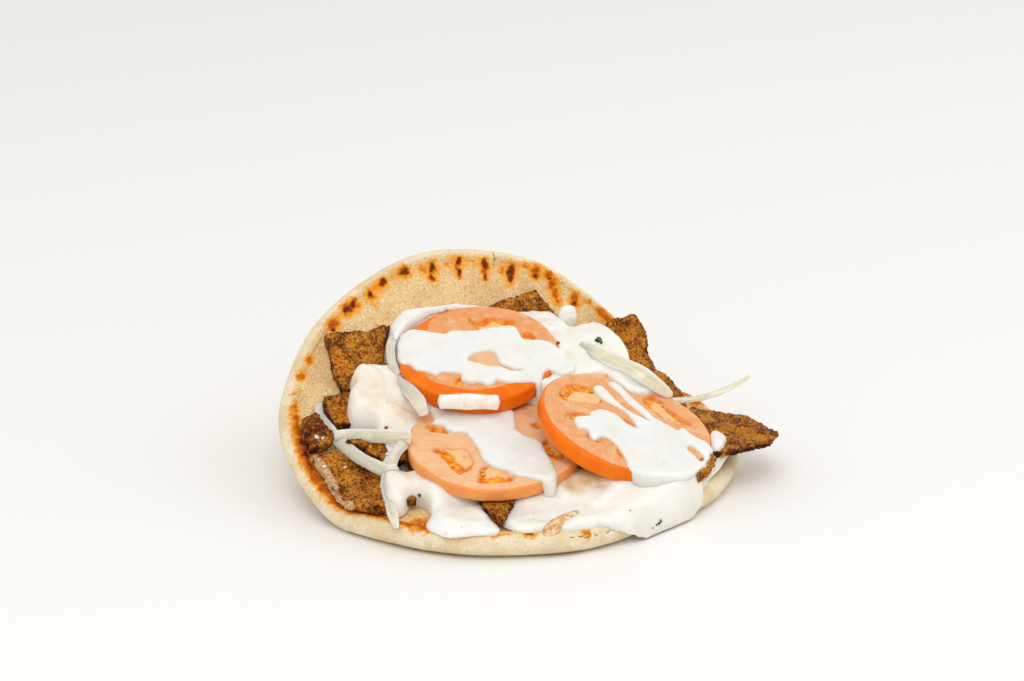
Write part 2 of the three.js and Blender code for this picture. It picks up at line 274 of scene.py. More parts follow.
# The section of the bread from the middle of its inner face, over the rim, to the middle of its
# underside: coarse in the middle, fine towards the rim.
FINE_FROM = 72
rim_start = BREAD_RADIUS - RIM_WIDTH
section = []
for r in [*np.arange(0, FINE_FROM, 2), *np.arange(FINE_FROM, rim_start, 0.6)]:
    section.append((r, HALF_BREAD - DIP * math.exp(-((r - DIP_DISTANCE) / DIP_WIDTH) ** 2) - FACE_SINK))
for turn in np.radians(np.linspace(90, -90, 22)):
    section.append((BREAD_RADIUS - RIM_WIDTH * (1 - math.cos(turn)), HALF_BREAD * math.sin(turn)))
section += [(r, -HALF_BREAD) for r in np.arange(rim_start - 2, 0, -3)] + [(0, -HALF_BREAD)]
bread = spun("pita_bread", section, steps=720, gap=0.02)

flat = own_points(bread)
a, b, h = flat.T
out = np.hypot(a, b)
bearing = np.degrees(np.arctan2(b, a)) % 360
rim_share = np.clip((out - rim_start) / RIM_WIDTH, 0, 1)

# Toasted marks: bearing, distance from the middle, half length along the rim, half length across
# it, and strength. The flap's are separate dashes in wide golden halos.
DASHES = [
    (113.4, 85.8, 3.6, 2.2, 0.95), (107.4, 85.9, 2, 2.4, 1), (104.8, 86, 2.2, 2.6, 1),
    (99.4, 84.6, 1.6, 2.6, 0.95), (100.8, 79.6, 1, 2.2, 0.4), (94.5, 86, 1.8, 2.2, 1),
    (96.9, 85.6, 1.2, 1.4, 0.5), (87.6, 85.8, 2.4, 2.5, 1), (90.6, 86.4, 1.2, 1.2, 0.4),
    (79.6, 84.2, 1.4, 2.4, 1), (80.8, 80, 1.1, 2.6, 0.95), (82.6, 84.4, 1.5, 2.8, 0.6),
    (72, 85.2, 1.5, 2, 1), (72.8, 80, 1.1, 3.4, 0.8), (75.2, 85.2, 2.4, 1.5, 0.55),
    (64.6, 84.8, 1.6, 2.2, 1), (64.8, 79.6, 1.3, 3.6, 1), (68.2, 85.3, 2, 1.2, 0.6),
    (56.9, 83.9, 1.9, 2.6, 1), (56.8, 79.6, 1.4, 3, 0.95), (59.6, 83, 1.4, 2.4, 0.6),
    (59.4, 74, 1, 2, 0.35), (52.9, 87, 1.6, 1.6, 0.7), (50.2, 87, 1.4, 2, 0.8), (49.5, 85.3, 1.4, 2.6, 1),
    (46, 87.2, 1.8, 1.8, 0.9), (44, 84.4, 1.6, 3, 1), (42, 81, 1.3, 2.6, 1), (40.4, 78, 0.9, 2, 0.8),
    (36.6, 84.8, 1.4, 2.4, 0.95), (35.4, 81.6, 1.3, 2.8, 1), (32.6, 87, 1.2, 2, 0.6),
    (28.2, 87.4, 1.8, 1.6, 0.9), (25.6, 87.3, 2.2, 1.8, 0.9), (22.7, 87.9, 2.2, 1.8, 1),
    (127, 86.8, 2.4, 1.7, 0.8), (133, 87.6, 2.8, 1.7, 0.8), (139.2, 88.1, 1.4, 1.3, 0.6),
]
# Towards the left and the front they join into one narrow streak.
STREAK = [
    (16, 88, 4, 2, 0.75), (8, 89, 5, 2, 0.7), (0, 90, 4, 2, 0.7), (353.5, 90.6, 3.6, 1.9, 0.9),
    (347, 88.8, 3.8, 1.9, 0.9), (341, 87, 3.4, 1.8, 0.8), (334, 87.6, 4, 1.4, 0.5),
    (310, 88.6, 5, 1.2, 0.3), (143.5, 87.6, 3, 1.2, 0.75), (148, 87, 3.4, 1.3, 0.9),
    (152, 87.2, 3.2, 1.4, 0.95), (156.5, 87.2, 3.6, 1.8, 1), (160.5, 87.6, 3.6, 2, 1),
    (164.3, 88.2, 3.4, 1.6, 1), (168.5, 88.6, 3.8, 1.3, 1), (173, 88.5, 4, 1.3, 1),
    (177.5, 88.5, 4, 1.2, 1), (182, 88.2, 4, 1.1, 1), (186.3, 87.4, 4, 1, 0.95), (191, 87, 4.4, 0.9, 0.9),
    (196, 87.2, 4.4, 0.9, 0.9), (201, 87.7, 4.4, 0.9, 0.9), (206, 88, 3.4, 0.9, 0.85),
    (213, 89, 4, 0.6, 0.5), (204, 84, 7, 6, 0.75), (224.5, 89, 4.6, 0.7, 0.6), (231.6, 89, 2.4, 0.7, 0.9),
    (245.1, 90.4, 1.6, 0.6, 0.8),
]
# Burnt hearts of the darkest of them: bearing, distance, half lengths along and across.
BURNT = [
    (114.6, 84.6, 1, 0.9), (104.8, 86, 1.7, 1.5), (107.2, 86.1, 1.3, 1.3), (99.3, 85.2, 1, 1.2),
    (94.3, 86.4, 1.2, 1.2), (87.3, 86.1, 1.9, 1.6), (79.6, 84.6, 0.9, 1.9), (80.6, 80.6, 0.5, 1.6),
    (72, 85.5, 1.3, 1.2), (72.6, 81, 0.6, 2), (64.6, 84.8, 1.1, 1.9), (64.8, 79.6, 0.8, 2.6),
    (56.9, 83.9, 1.4, 2.6), (56.8, 79.6, 0.8, 2.2), (49.4, 84.6, 0.5, 1.4), (45.3, 86.4, 0.5, 0.7),
    (35.6, 82.4, 0.5, 1.8), (22.7, 87.9, 0.7, 0.6), (156, 87.2, 2.2, 0.6), (160.5, 87.6, 3, 0.9),
    (164.3, 88.2, 1.8, 0.5), (231.6, 89, 1.2, 0.4),
]


def toasting(table, stray, spread=0.0):
    """How toasted each point of the bread is, from a table of marks, each made wider by a spread."""
    untouched = np.ones(len(out))
    for turn, distance, along, across, *strength in table:
        sideways = (bearing - turn + 180 + stray[0]) % 360 - 180
        along_rim = falloff(np.radians(sideways) * distance, along + spread)
        away = along_rim * falloff(out - distance + stray[1], across + spread)
        untouched *= 1 - (strength[0] if strength else 1) * away
    return (1 - untouched) * (h > -1)


wander = (0.6 * lumps(flat, 2.6, 1), 0.8 * lumps(flat, 2.2, 2))
mark(bread, "disc", flat / 1000)
mark(bread, "toast", np.maximum(toasting(DASHES, wander, 0.35), toasting(STREAK, wander, 0.6)))
mark(bread, "halo", np.maximum(toasting(DASHES, wander, 1.55), toasting(STREAK, wander, 1.5)))
mark(bread, "char", toasting(BURNT, wander, 0.3))
mark(bread, "rim", np.where(h > 0, np.clip((out - BREAD_RADIUS + 4.6) / 2.2, 0, 1), 1))
mark(bread, "under", np.clip((-h - 2.2) / 2, 0, 1))

# Cracks in the crust, by their bearings: one across the rim at the top of the flap, a notch at the
# left end of the fold, and a fine crack and long creases along the front rim.
TOP_CRACK = 62
NOTCH = 184
FRONT_CRACK = (240, 254)
CREASES = (200, 300)


def along_rim(stretch, ends):
    """1 over a stretch of bearings, fading over its ends."""
    start, end = stretch
    return np.clip((bearing - start) / ends, 0, 1) * np.clip((end - bearing) / ends, 0, 1)


crack_top = falloff((bearing - TOP_CRACK - 0.5 * lumps(flat, 3, 3)) * 1.6, 0.55)
crack_top *= np.clip((out - 80) / 5, 0, 1) * (h > -2)
crease = falloff(h - 1.2 - 0.9 * lumps(flat, 9, 4), 0.5) * rim_share * (lumps(flat, 7, 5) > -0.1)
crease *= along_rim(CREASES, 15)
crack_front = falloff(h - 2.6 - 0.8 * lumps(flat, 4, 9), 0.3) * rim_share * (lumps(flat, 1.6, 10) > -0.25)
crack_front *= along_rim(FRONT_CRACK, 1.5)
notch = falloff((bearing - NOTCH) * 1.6, 0.8) * rim_share
# The cracks, the notch and the creases are dented in, and the shade in them is painted into the crust as
# darker brown.
mark(bread, "crack_shade", np.clip(crack_top + 0.5 * notch + 0.7 * crease + 2 * crack_front, 0, 1))

swell = 0.45 * lumps(flat, 24, 6) + 0.28 * lumps(flat, 9, 7) + 0.12 * lumps(flat, 3, 8)
swell -= 0.7 * crack_top + 0.5 * crease + 0.9 * notch + 0.7 * crack_front
toast_sink = 0.25 * toasting(DASHES, wander)
wobble = 1 + 0.006 * np.sin(np.radians(bearing * 5 + 40)) * (out / BREAD_RADIUS) ** 4
wobble -= 0.004 * np.cos(np.radians(bearing * 11)) * (out / BREAD_RADIUS) ** 4
wobble -= rim_dent(bearing) / BREAD_RADIUS * (out / BREAD_RADIUS) ** 6
height = h + np.where(h > 0, swell - toast_sink, 0.5 * swell)
folded = on_bread(a * wobble, b * wobble, height)
folded[:, 2] = np.maximum(folded[:, 2], 0)  # nothing sinks into the table
put_points(bread, folded)

crust = new_finish("pita_crust", Roughness=0.8, Specular_IOR_Level=0.2)
disc = read_mark(crust, "disc", "Vector")
patches = grain(crust, disc, 9, 3)
crumb = tinted(crust, colour(230, 197, 143), colour(218, 178, 122), patches, 0.36, 0.66)
fine = grain(crust, disc, 1.1, 3, 0.65)
crumb = tinted(crust, crumb, colour(248, 221, 176), fine, 0.53, 0.66, 0.8)
rim_tone = tinted(crust, colour(235, 221, 190), colour(227, 204, 161), patches, 0.4, 0.62)
rim_tone = tinted(crust, rim_tone, colour(250, 240, 220), fine, 0.55, 0.7, 0.5)
on_rim = read_mark(crust, "rim")
crumb = tinted(crust, crumb, rim_tone, on_rim, 0, 1)
# Fine specks and larger flakes of bran, both fewer on the rim.
specks = grain(crust, disc, 0.75, 2, 0.7)
bran = grain(crust, disc, 1.0, 1, 0.6, 1.5)
for pattern, start, end, on_the_rim, tone in [
    (specks, 0.565, 0.645, 0.22, colour(170, 130, 78)),
    (bran, 0.68, 0.74, 0.4, colour(132, 92, 50)),
]:
    fewer = between(crust, on_rim, 0, 1, 0.75, on_the_rim)
    crumb = blend(crust, sums(crust, "MULTIPLY", between(crust, pattern, start, end), fewer), crumb, tone)
underside = between(crust, grain(crust, disc, 14, 2), 0.42, 0.66, 0, 0.75)
underside = sums(crust, "MULTIPLY", underside, read_mark(crust, "under"))
crumb = blend(crust, underside, crumb, colour(196, 136, 74))
uneven = sums(crust, "MULTIPLY", sums(crust, "SUBTRACT", grain(crust, disc, 1.6, 4, 0.7), 0.5), 1.4)
scorch = sums(crust, "ADD", read_mark(crust, "halo"), uneven)
crumb = tinted(crust, crumb, colour(236, 160, 50), scorch, 0.3, 0.72, 0.95)
toasted = sums(crust, "ADD", read_mark(crust, "toast"), uneven)
toast_tone = shades(
    crust, toasted,
    [(0.35, colour(232, 146, 22)), (0.65, colour(214, 116, 4)), (0.95, colour(178, 82, 0))],
)
crumb = tinted(crust, crumb, toast_tone, toasted, 0.25, 0.7)
burnt = sums(crust, "ADD", read_mark(crust, "char"), uneven)
crumb = tinted(crust, crumb, colour(122, 52, 2), burnt, 0.3, 0.75)
crumb = tinted(crust, crumb, colour(44, 14, 4), burnt, 0.75, 1.05, 0.8)
# Painted shade: cracks, creases and the notch are darker brown.
crumb = tinted(crust, crumb, colour(120, 80, 42), read_mark(crust, "crack_shade"), 0.5, 0.95, 0.85)
wear(crust, "Base Color", crumb)
pores = sums(crust, "ADD", fine, sums(crust, "MULTIPLY", specks, -0.6))
relief(crust, pores, 0.4, 0.8)
ready(bread, crust, "pita", "pita")

# ---- Meat ----
# Slices shaved from a roasted cone of minced meat: crumbly inside, seared dark along the edges,
# glossy with fat here and there. They lie on the bread and stick out of the heap round its rim.

MEAT_GRAIN = 0.62  # size of the finest crumbs
MEATS = 12
COARSE_RELIEF, FINE_RELIEF = 1.5, 1.3  # how far lumps and crumbs stand out
SEAR_DEPTH = 1.8  # how far in from an edge the dark sear fades


def clouds(name, size):
    """A displacement pattern for roasted mince."""
    pattern = bpy.data.textures.new(name, "CLOUDS")
    pattern.noise_scale = size / 1000
    pattern.noise_depth = 2
    return pattern


coarse_mince = clouds("coarse_mince", 6)
fine_mince = clouds("fine_mince", 1.4)

seared = new_finish(
    "seared_meat", Roughness=0.5, Specular_IOR_Level=0.1, Subsurface_Weight=0.06,
    Subsurface_Radius=(0.003, 0.001, 0.0005),
)
meat_places = object_places(seared)
browning = grain(seared, meat_places, 7, 3, 0.6)
flesh = shades(
    seared, browning,
    [(0.36, colour(112, 50, 2)), (0.46, colour(160, 94, 14)), (0.54, colour(190, 124, 36)),
     (0.66, colour(208, 118, 10))],
)
mince = grain(seared, meat_places, 1.15, 4, 0.75)
fat = grain(seared, meat_places, 2.6, 2, 0.6)
pit_shade = grain(seared, meat_places, 4.2, 3, 0.65)
scorching = sums(seared, "SUBTRACT", grain(seared, meat_places, 2.6, 4, 0.7), 0.5)
scorching = sums(seared, "MULTIPLY", scorching, 2.4)
singe = sums(seared, "ADD", read_mark(seared, "seared"), scorching)
flesh = tinted(seared, flesh, colour(222, 168, 88), mince, 0.53, 0.63, 0.65)
flesh = tinted(seared, flesh, colour(66, 26, 0), mince, 0.485, 0.39, 0.9)
flesh = tinted(seared, flesh, colour(216, 116, 12), fat, 0.61, 0.69, 0.7)
# Painted shade: scattered dark spots stand for the shade in small pits of the mince.
flesh = tinted(seared, flesh, colour(72, 28, 6), pit_shade, 0.63, 0.7, 0.85)
flesh = tinted(seared, flesh, colour(100, 42, 6), singe, 0.4, 0.72, 0.85)
flesh = tinted(seared, flesh, colour(44, 18, 4), singe, 0.72, 1.0, 0.9)
pale_cut = tinted(seared, colour(184, 130, 84), colour(222, 188, 148), mince, 0.4, 0.6)
flesh = tinted(seared, flesh, pale_cut, read_mark(seared, "pale"), 0.35, 0.7)
wear(seared, "Base Color", flesh)
wear(seared, "Roughness", between(seared, grain(seared, meat_places, 2.5, 2), 0.4, 0.6, 0.34, 0.75))
relief(seared, sums(seared, "ADD", mince, grain(seared, meat_places, 0.6, 2)), 0.6, 0.8)

# How strongly each slice is seared over its whole face.
SEARING = [0.1, 0.42, 0.6, 0.08, 0.4, 0.24, 0.1, 0.1, 0.34, 0.12, 0.24, 0.55]
PALE_SLICE = 4  # its outer side was cut after roasting and shows the pale inside
PALE_SIDE = (-1, 0.3, 0)
BRIDGING_SLICE = 10  # too stiff to follow the fold, so it arches over it
BRIDGE = (-8, 27, 5, 2)  # the arch: its middle, half its length, its rise and how far it leans out
THIN_SLICE = 11  # shaved thinner than the rest
THINNING = 0.5
CRUMPLED_SLICE = 1  # its far end is pushed together against the heap
CRUMPLED_WAY = (0.72, -0.69, 0)
CRUMPLED_LENGTH = 18


def distance_from(sources, places):
    """How far each place is from the nearest of the sources."""
    tree = KDTree(len(sources))
    for index, source in enumerate(sources):
        tree.insert(source, index)
    tree.balance()
    return np.array([tree.find(place)[2] for place in places])


meats = []
for number in range(1, MEATS + 1):
    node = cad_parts[f"meat_{number}"]
    slice_mesh = node.data.copy()
    slice_mesh.materials.clear()
    roasted = set_down(f"roasted_meat_{number}", slice_mesh)
    edit_whole(roasted, (bpy.ops.mesh.remove_doubles, {"threshold": 0.00001}))
    add_modifier(roasted, "REMESH", mode="VOXEL", voxel_size=MEAT_GRAIN / 1000)
    normals = np.empty(3 * len(roasted.data.vertices))
    roasted.data.vertices.foreach_get("normal", normals)
    normals = normals.reshape(-1, 3)
    places = points_of(roasted)
    if number == BRIDGING_SLICE:
        middle_y, half_y, rise, outward = BRIDGE
        lifted = np.maximum(1 - ((places[:, 1] - middle_y) / half_y) ** 2, 0)
        places = places + np.column_stack([outward * lifted, 0 * lifted, rise * lifted])
        put_points(roasted, places)
    if number == CRUMPLED_SLICE:
        reach = places @ np.array(CRUMPLED_WAY)
        crumpled = np.maximum(reach - reach.max() + CRUMPLED_LENGTH, 0) / 2
        places = places - crumpled[:, None] * np.array(CRUMPLED_WAY)
        put_points(roasted, places)
    # The way the slice is thin; the faces that look sideways are its edges, which are seared.
    spread = places - places.mean(0)
    thin_way = np.linalg.svd(spread[:: max(1, len(spread) // 2000)], full_matrices=False)[2][2]
    thin_way *= math.copysign(1, thin_way[2])
    if number == THIN_SLICE:
        under = (spread @ thin_way).max() - spread @ thin_way
        places = places + THINNING * under[:, None] * thin_way
        put_points(roasted, places)
    sideways = np.abs(normals @ thin_way) < 0.5
    inward = distance_from(places[sideways], places)
    broken = np.clip(lumps(places, 6, number) + 0.75, 0.2, 1)
    patchy = SEARING[number - 1] + 0.35 * lumps(places, 9, number + 20)
    mark(roasted, "seared", np.maximum(np.exp(-inward / SEAR_DEPTH) * broken, patchy))
    pale = np.zeros(len(places))
    if number == PALE_SLICE:
        cut = sideways & (normals @ np.array(PALE_SIDE) > 0.75)
        pale = np.clip(1.6 - distance_from(places[cut], places) / 2.2, 0, 1)
        pale *= np.clip(lumps(places, 4, 77) + 0.95, 0, 1)
    mark(roasted, "pale", pale)
    for pattern, depth in [(coarse_mince, COARSE_RELIEF), (fine_mince, FINE_RELIEF)]:
        add_modifier(roasted, "DISPLACE", texture=pattern, strength=depth / 1000, mid_level=0.5)
    ready(roasted, seared, "meat", f"meat_{number}")
    meats.append(roasted)

# ---- Tomato ----
# Three slices cut across a large firm tomato: a glossy orange-red skin, pale salmon flesh in a
# thick outer wall and in arms towards the middle, and pockets of wet gel that hold the seeds.

# Each slice: centre of its top face, radius, yaw and tilt in degrees, thickness, droop of its front,
# how pale it is, how far the pale lobes in its pockets sit aside, and where it is out of round: a
# direction and half width in degrees, and how far it stands out.
SLICES = [
    {"centre": (-1.6, 14.3, 44.3), "radius": 33, "yaw": -39.8, "tilt": 11.9, "thick": 6.5, "droop": 2.6,
     "pale": 0.15, "lobe_aside": (0, 2), "dents": [(138, 26, -2.8), (8, 24, -1.4), (182, 24, -1.9)]},
    {"centre": (-30.6, -26.2, 24.9), "radius": 32.6, "yaw": -39.2, "tilt": 8.9, "thick": 5.5, "droop": 0,
     "pale": 0.9, "lobe_aside": (-1.6, -2.4), "dents": [(128, 24, 6), (243, 20, 0.9)]},
    {"centre": (10.4, -55.9, 29.4), "radius": 33.6, "yaw": 17, "tilt": 20.8, "thick": 6, "droop": 0,
     "pale": 0.3, "lobe_aside": (1.4, 2.4), "dents": [(-95, 45, -1.8), (-36, 32, 2.7)]},
]
DROOP_START = -14  # how far from a slice's middle its front starts to hang down
# Where the skin curls onto a slice's face: direction and half width in degrees, and how far.
SKIN_SHOWS = [
    [(-156, 20, 8), (-118, 18, 5), (-80, 26, 6), (-48, 16, 6.5), (144, 12, 6.5), (120, 18, 1.2)],
    [],
    [(180, 50, 2.2)],
]
SKIN_BULGE = 0.5  # how far the skin stands out round a slice
EDGE_ROUNDING = 1.3
POCKET_STEP = 0.8  # between points round a pocket
GEL_SINK = 1.2  # how far the gel has sunk under the cut face
LOBE_RISE = 0.9  # how far the pale lobes stand up out of the gel
LOBE_MARGIN = 1.1  # how wide the gel shows round a lobe
PALE_PATCH, PALE_PATCH_SIZE = (2, -8), 9  # the first slice is pale only round its middle
SEED_SPACING = 16  # pocket points to a seed; the first slice shows no seeds, the third the most
SEED_DEPTH = 0.62  # how deep the seeds' middles lie

# Gel pockets on each slice's own face, from its middle.
POCKETS = [
    [
        [(-2.2, 24.4), (0, 18.4), (2.1, 14), (7.8, 14), (13.5, 14.5), (15.9, 18.4), (16.6, 20.5),
         (12.7, 21.8), (9.4, 23.6), (5.4, 23.4), (1.9, 20.9), (0.2, 21)],
        [(19.2, 10.3), (21.6, 12), (24.1, 7.8), (22.2, 3.8), (19, 4.1)],
        [(-23.5, 4), (-19.5, 10), (-12.5, 14), (-10.5, 9), (-15.5, 2), (-21.5, -2)],
        [(12.5, -18), (19.5, -14), (23.5, -6), (19.5, -4), (14.5, -10)],
        [(-10.5, -23), (-8.5, -19.6), (-4.5, -19), (-2.5, -23.6)],
    ],
    [
        [(-25.2, 12.6), (-23.6, 14.3), (-19.9, 12.8), (-17.6, 10.8), (-17.7, 8.5), (-21.4, 9.4),
         (-23.8, 10.7)],
        [(-24.3, -3.2), (-21.8, -2.3), (-19.1, -2.2), (-16.7, -3.5), (-12.4, -3.1), (-9.6, -11.3),
         (-11, -17.5), (-14.8, -20.5), (-17.1, -18.1), (-19.1, -12.3), (-21.9, -7.5)],
        [(-8.4, -26.6), (-7.5, -18.9), (-4.8, -16.3), (-1.3, -18.3), (1.4, -21.3), (3.6, -24.3),
         (5.3, -25), (3.3, -27.6), (-2.2, -28), (-6.9, -27.3)],
        [(15, 12.9), (17.5, 13.9), (21.7, 11.8), (22, 8.8), (16.5, 9.8)],
        [(17.9, -1.5), (20.6, 0.6), (24.2, -0.8), (25.5, -7), (24.6, -12.8), (21.1, -13), (18.5, -9)],
        [(-6, 8), (-1, 16), (5, 18), (6, 10), (1, 4)],
        [(8, -14), (14, -10), (18, -15), (13, -19)],
    ],
    [
        [(-7.7, 25), (-4.7, 27.7), (1, 28.5), (5.4, 27.7), (8.5, 24), (10.8, 21.1), (9.9, 17.7),
         (6.9, 14.7), (3, 13.9), (-1.1, 16.5), (-4, 19.9), (-7, 22.1)],
        [(-17.9, 17.9), (-13.6, 17.7), (-9, 14.5), (-11.2, 12.7), (-16.2, 14.3)],
        [(-21.9, 6), (-18.3, 5.5), (-18.1, 2), (-20.5, 0.2), (-22.1, 1.4), (-22.8, 3.9)],
        [(21.4, 2.9), (28, 3.1), (28, -1.4), (25.3, -6.4), (24.3, -12.8), (23.5, -16.5), (20.9, -16.1),
         (18.6, -12.3), (17.4, -8.5), (18.8, -2.1)],
        [(-10, -4.9), (-6, 2.1), (0, 3.1), (3, -2.9), (-2, -9.9), (-8, -10.9)],
        [(-22, -8.9), (-17, -6.9), (-12, -14.9), (-16, -20.9), (-21, -16.9)],
        [(-4, -18.9), (2, -14.9), (8, -18.9), (4, -25.9), (-3, -26.9)],
    ],
]


def curve_through(points, step, closed=True):
    """Points every step or so along a smooth curve through a few given ones."""
    given = np.asarray(points, float)
    count = len(given)
    last = count if closed else count - 1
    if not closed:
        given = np.vstack([2 * given[0] - given[1], given, 2 * given[-1] - given[-2]])
    beside = (-1, 0, 1, 2) if closed else (0, 1, 2, 3)
    curve = []
    for i in range(last):
        p0, p1, p2, p3 = [given[(i + k) % len(given)] for k in beside]
        pieces = max(1, round(np.linalg.norm(p2 - p1) / step))
        for t in np.arange(pieces) / pieces:
            curve.append(
                0.5 * (2 * p1 + (p2 - p0) * t + (2 * p0 - 5 * p1 + 4 * p2 - p3) * t**2
                       + (3 * p1 - p0 - 3 * p2 + p3) * t**3)
            )
    if not closed:
        curve.append(given[-2])
    return np.array(curve)


def depth_inside(places, outline):
    """How far each place lies inside a closed outline, negative outside it."""
    nearest = np.full(len(places), np.inf)
    inside = np.zeros(len(places), bool)
    x, y = places[:, 0], places[:, 1]
    for (x1, y1), (x2, y2) in zip(outline, np.roll(outline, -1, axis=0)):
        dx, dy = x2 - x1, y2 - y1
        along = np.clip(((x - x1) * dx + (y - y1) * dy) / (dx * dx + dy * dy + 1e-12), 0, 1)
        nearest = np.minimum(nearest, np.hypot(x - x1 - along * dx, y - y1 - along * dy))
        crosses = (y1 > y) != (y2 > y)
        inside ^= crosses & (x < x1 + (y - y1) * dx / (dy if dy else 1e-12))
    return np.where(inside, nearest, -nearest)


def slice_axes(tomato):
    """The directions of a slice's own u, v and upward axes, as the columns of a matrix."""
    yaw = Matrix.Rotation(math.radians(tomato["yaw"]), 3, "Z")
    tilt = Matrix.Rotation(math.radians(tomato["tilt"]), 3, "X")
    return np.array(yaw @ tilt)


def sagging(tomato, v):
    """How far a slice's front hangs down, v along its own axis."""
    past = np.maximum(0, DROOP_START - v) / (tomato["radius"] + DROOP_START)
    return tomato["droop"] * past**2


def on_slice(tomato, u, v, h):
    """Places given on a slice's own axes, from the centre of its top face."""
    places = np.column_stack([u, v, h - sagging(tomato, v)])
    return places @ slice_axes(tomato).T + np.array(tomato["centre"])


def face_height(tomato, x, y):
    """Height of a slice's top face over the table, and how far inside its edge the place is."""
    axes = slice_axes(tomato)
    cx, cy, cz = tomato["centre"]
    z = cz - (axes[0, 2] * (x - cx) + axes[1, 2] * (y - cy)) / axes[2, 2]
    u, v, _ = axes.T @ np.array([x - cx, y - cy, z - cz])
    return z - sagging(tomato, v), tomato["radius"] - np.hypot(u, v)


def degrees_off(around, toward):
    """How far off a direction given in degrees the others are, from -180 to 180."""
    return (np.degrees(around) - toward + 180) % 360 - 180


tomato_flesh = new_finish(
    "tomato_flesh", Roughness=0.3, Specular_IOR_Level=0.15, Subsurface_Weight=0.15, Subsurface_Scale=1.0,
    Subsurface_Radius=(0.003, 0.0012, 0.0006), Coat_Weight=0.07, Coat_Roughness=0.1,
)
cut_places = read_mark(tomato_flesh, "cut", "Vector")
paleness = read_mark(tomato_flesh, "pale")
veins = grain(tomato_flesh, read_mark(tomato_flesh, "rays", "Vector"), 1.6, 4, 0.65)
meaty = blend(tomato_flesh, paleness, colour(230, 158, 92), colour(238, 190, 146))
pinkish = blend(tomato_flesh, paleness, colour(220, 130, 70), colour(234, 174, 124))
meaty = tinted(tomato_flesh, meaty, pinkish, veins, 0.36, 0.7, 0.7)
cloudy = grain(tomato_flesh, cut_places, 6, 3)
meaty = tinted(tomato_flesh, meaty, colour(240, 196, 156), cloudy, 0.5, 0.66, 0.5)
meaty = tinted(tomato_flesh, meaty, colour(226, 134, 74), cloudy, 0.42, 0.3, 0.35)
gel_clouds = grain(tomato_flesh, cut_places, 3, 2)
gel_tone = shades(
    tomato_flesh, gel_clouds,
    [(0.36, colour(226, 104, 0)), (0.5, colour(238, 142, 6)), (0.64, colour(244, 180, 44))],
)
gel = read_mark(tomato_flesh, "gel")
meaty = blend(tomato_flesh, gel, meaty, gel_tone)
lobe_tone = blend(tomato_flesh, veins, colour(244, 206, 156), colour(238, 178, 118))
meaty = tinted(tomato_flesh, meaty, lobe_tone, read_mark(tomato_flesh, "lobe"), 0, 1, 0.9)
pocket_edge = sums(tomato_flesh, "MULTIPLY", read_mark(tomato_flesh, "seam"), 0.3)
meaty = blend(tomato_flesh, pocket_edge, meaty, colour(224, 96, 14))
skin = read_mark(tomato_flesh, "skin")
skin_clouds = grain(tomato_flesh, cut_places, 9, 2)
skin_paleness = between(tomato_flesh, paleness, 0.4, 0.9)
skin_tone = blend(tomato_flesh, skin_paleness, colour(238, 108, 0), colour(240, 152, 80))
lighter_skin = blend(tomato_flesh, skin_paleness, colour(242, 130, 0), colour(242, 166, 98))
skin_tone = tinted(tomato_flesh, skin_tone, lighter_skin, skin_clouds, 0.42, 0.64, 0.6)
meaty = tinted(tomato_flesh, meaty, skin_tone, skin, 0.3, 0.7)
wear(tomato_flesh, "Base Color", meaty)
wetness = sums(tomato_flesh, "ADD", gel, skin)
wear(tomato_flesh, "Roughness", between(tomato_flesh, wetness, 0.1, 0.8, 0.4, 0.2))
relief(tomato_flesh, sums(tomato_flesh, "ADD", veins, gel_clouds), 0.2, 0.7)

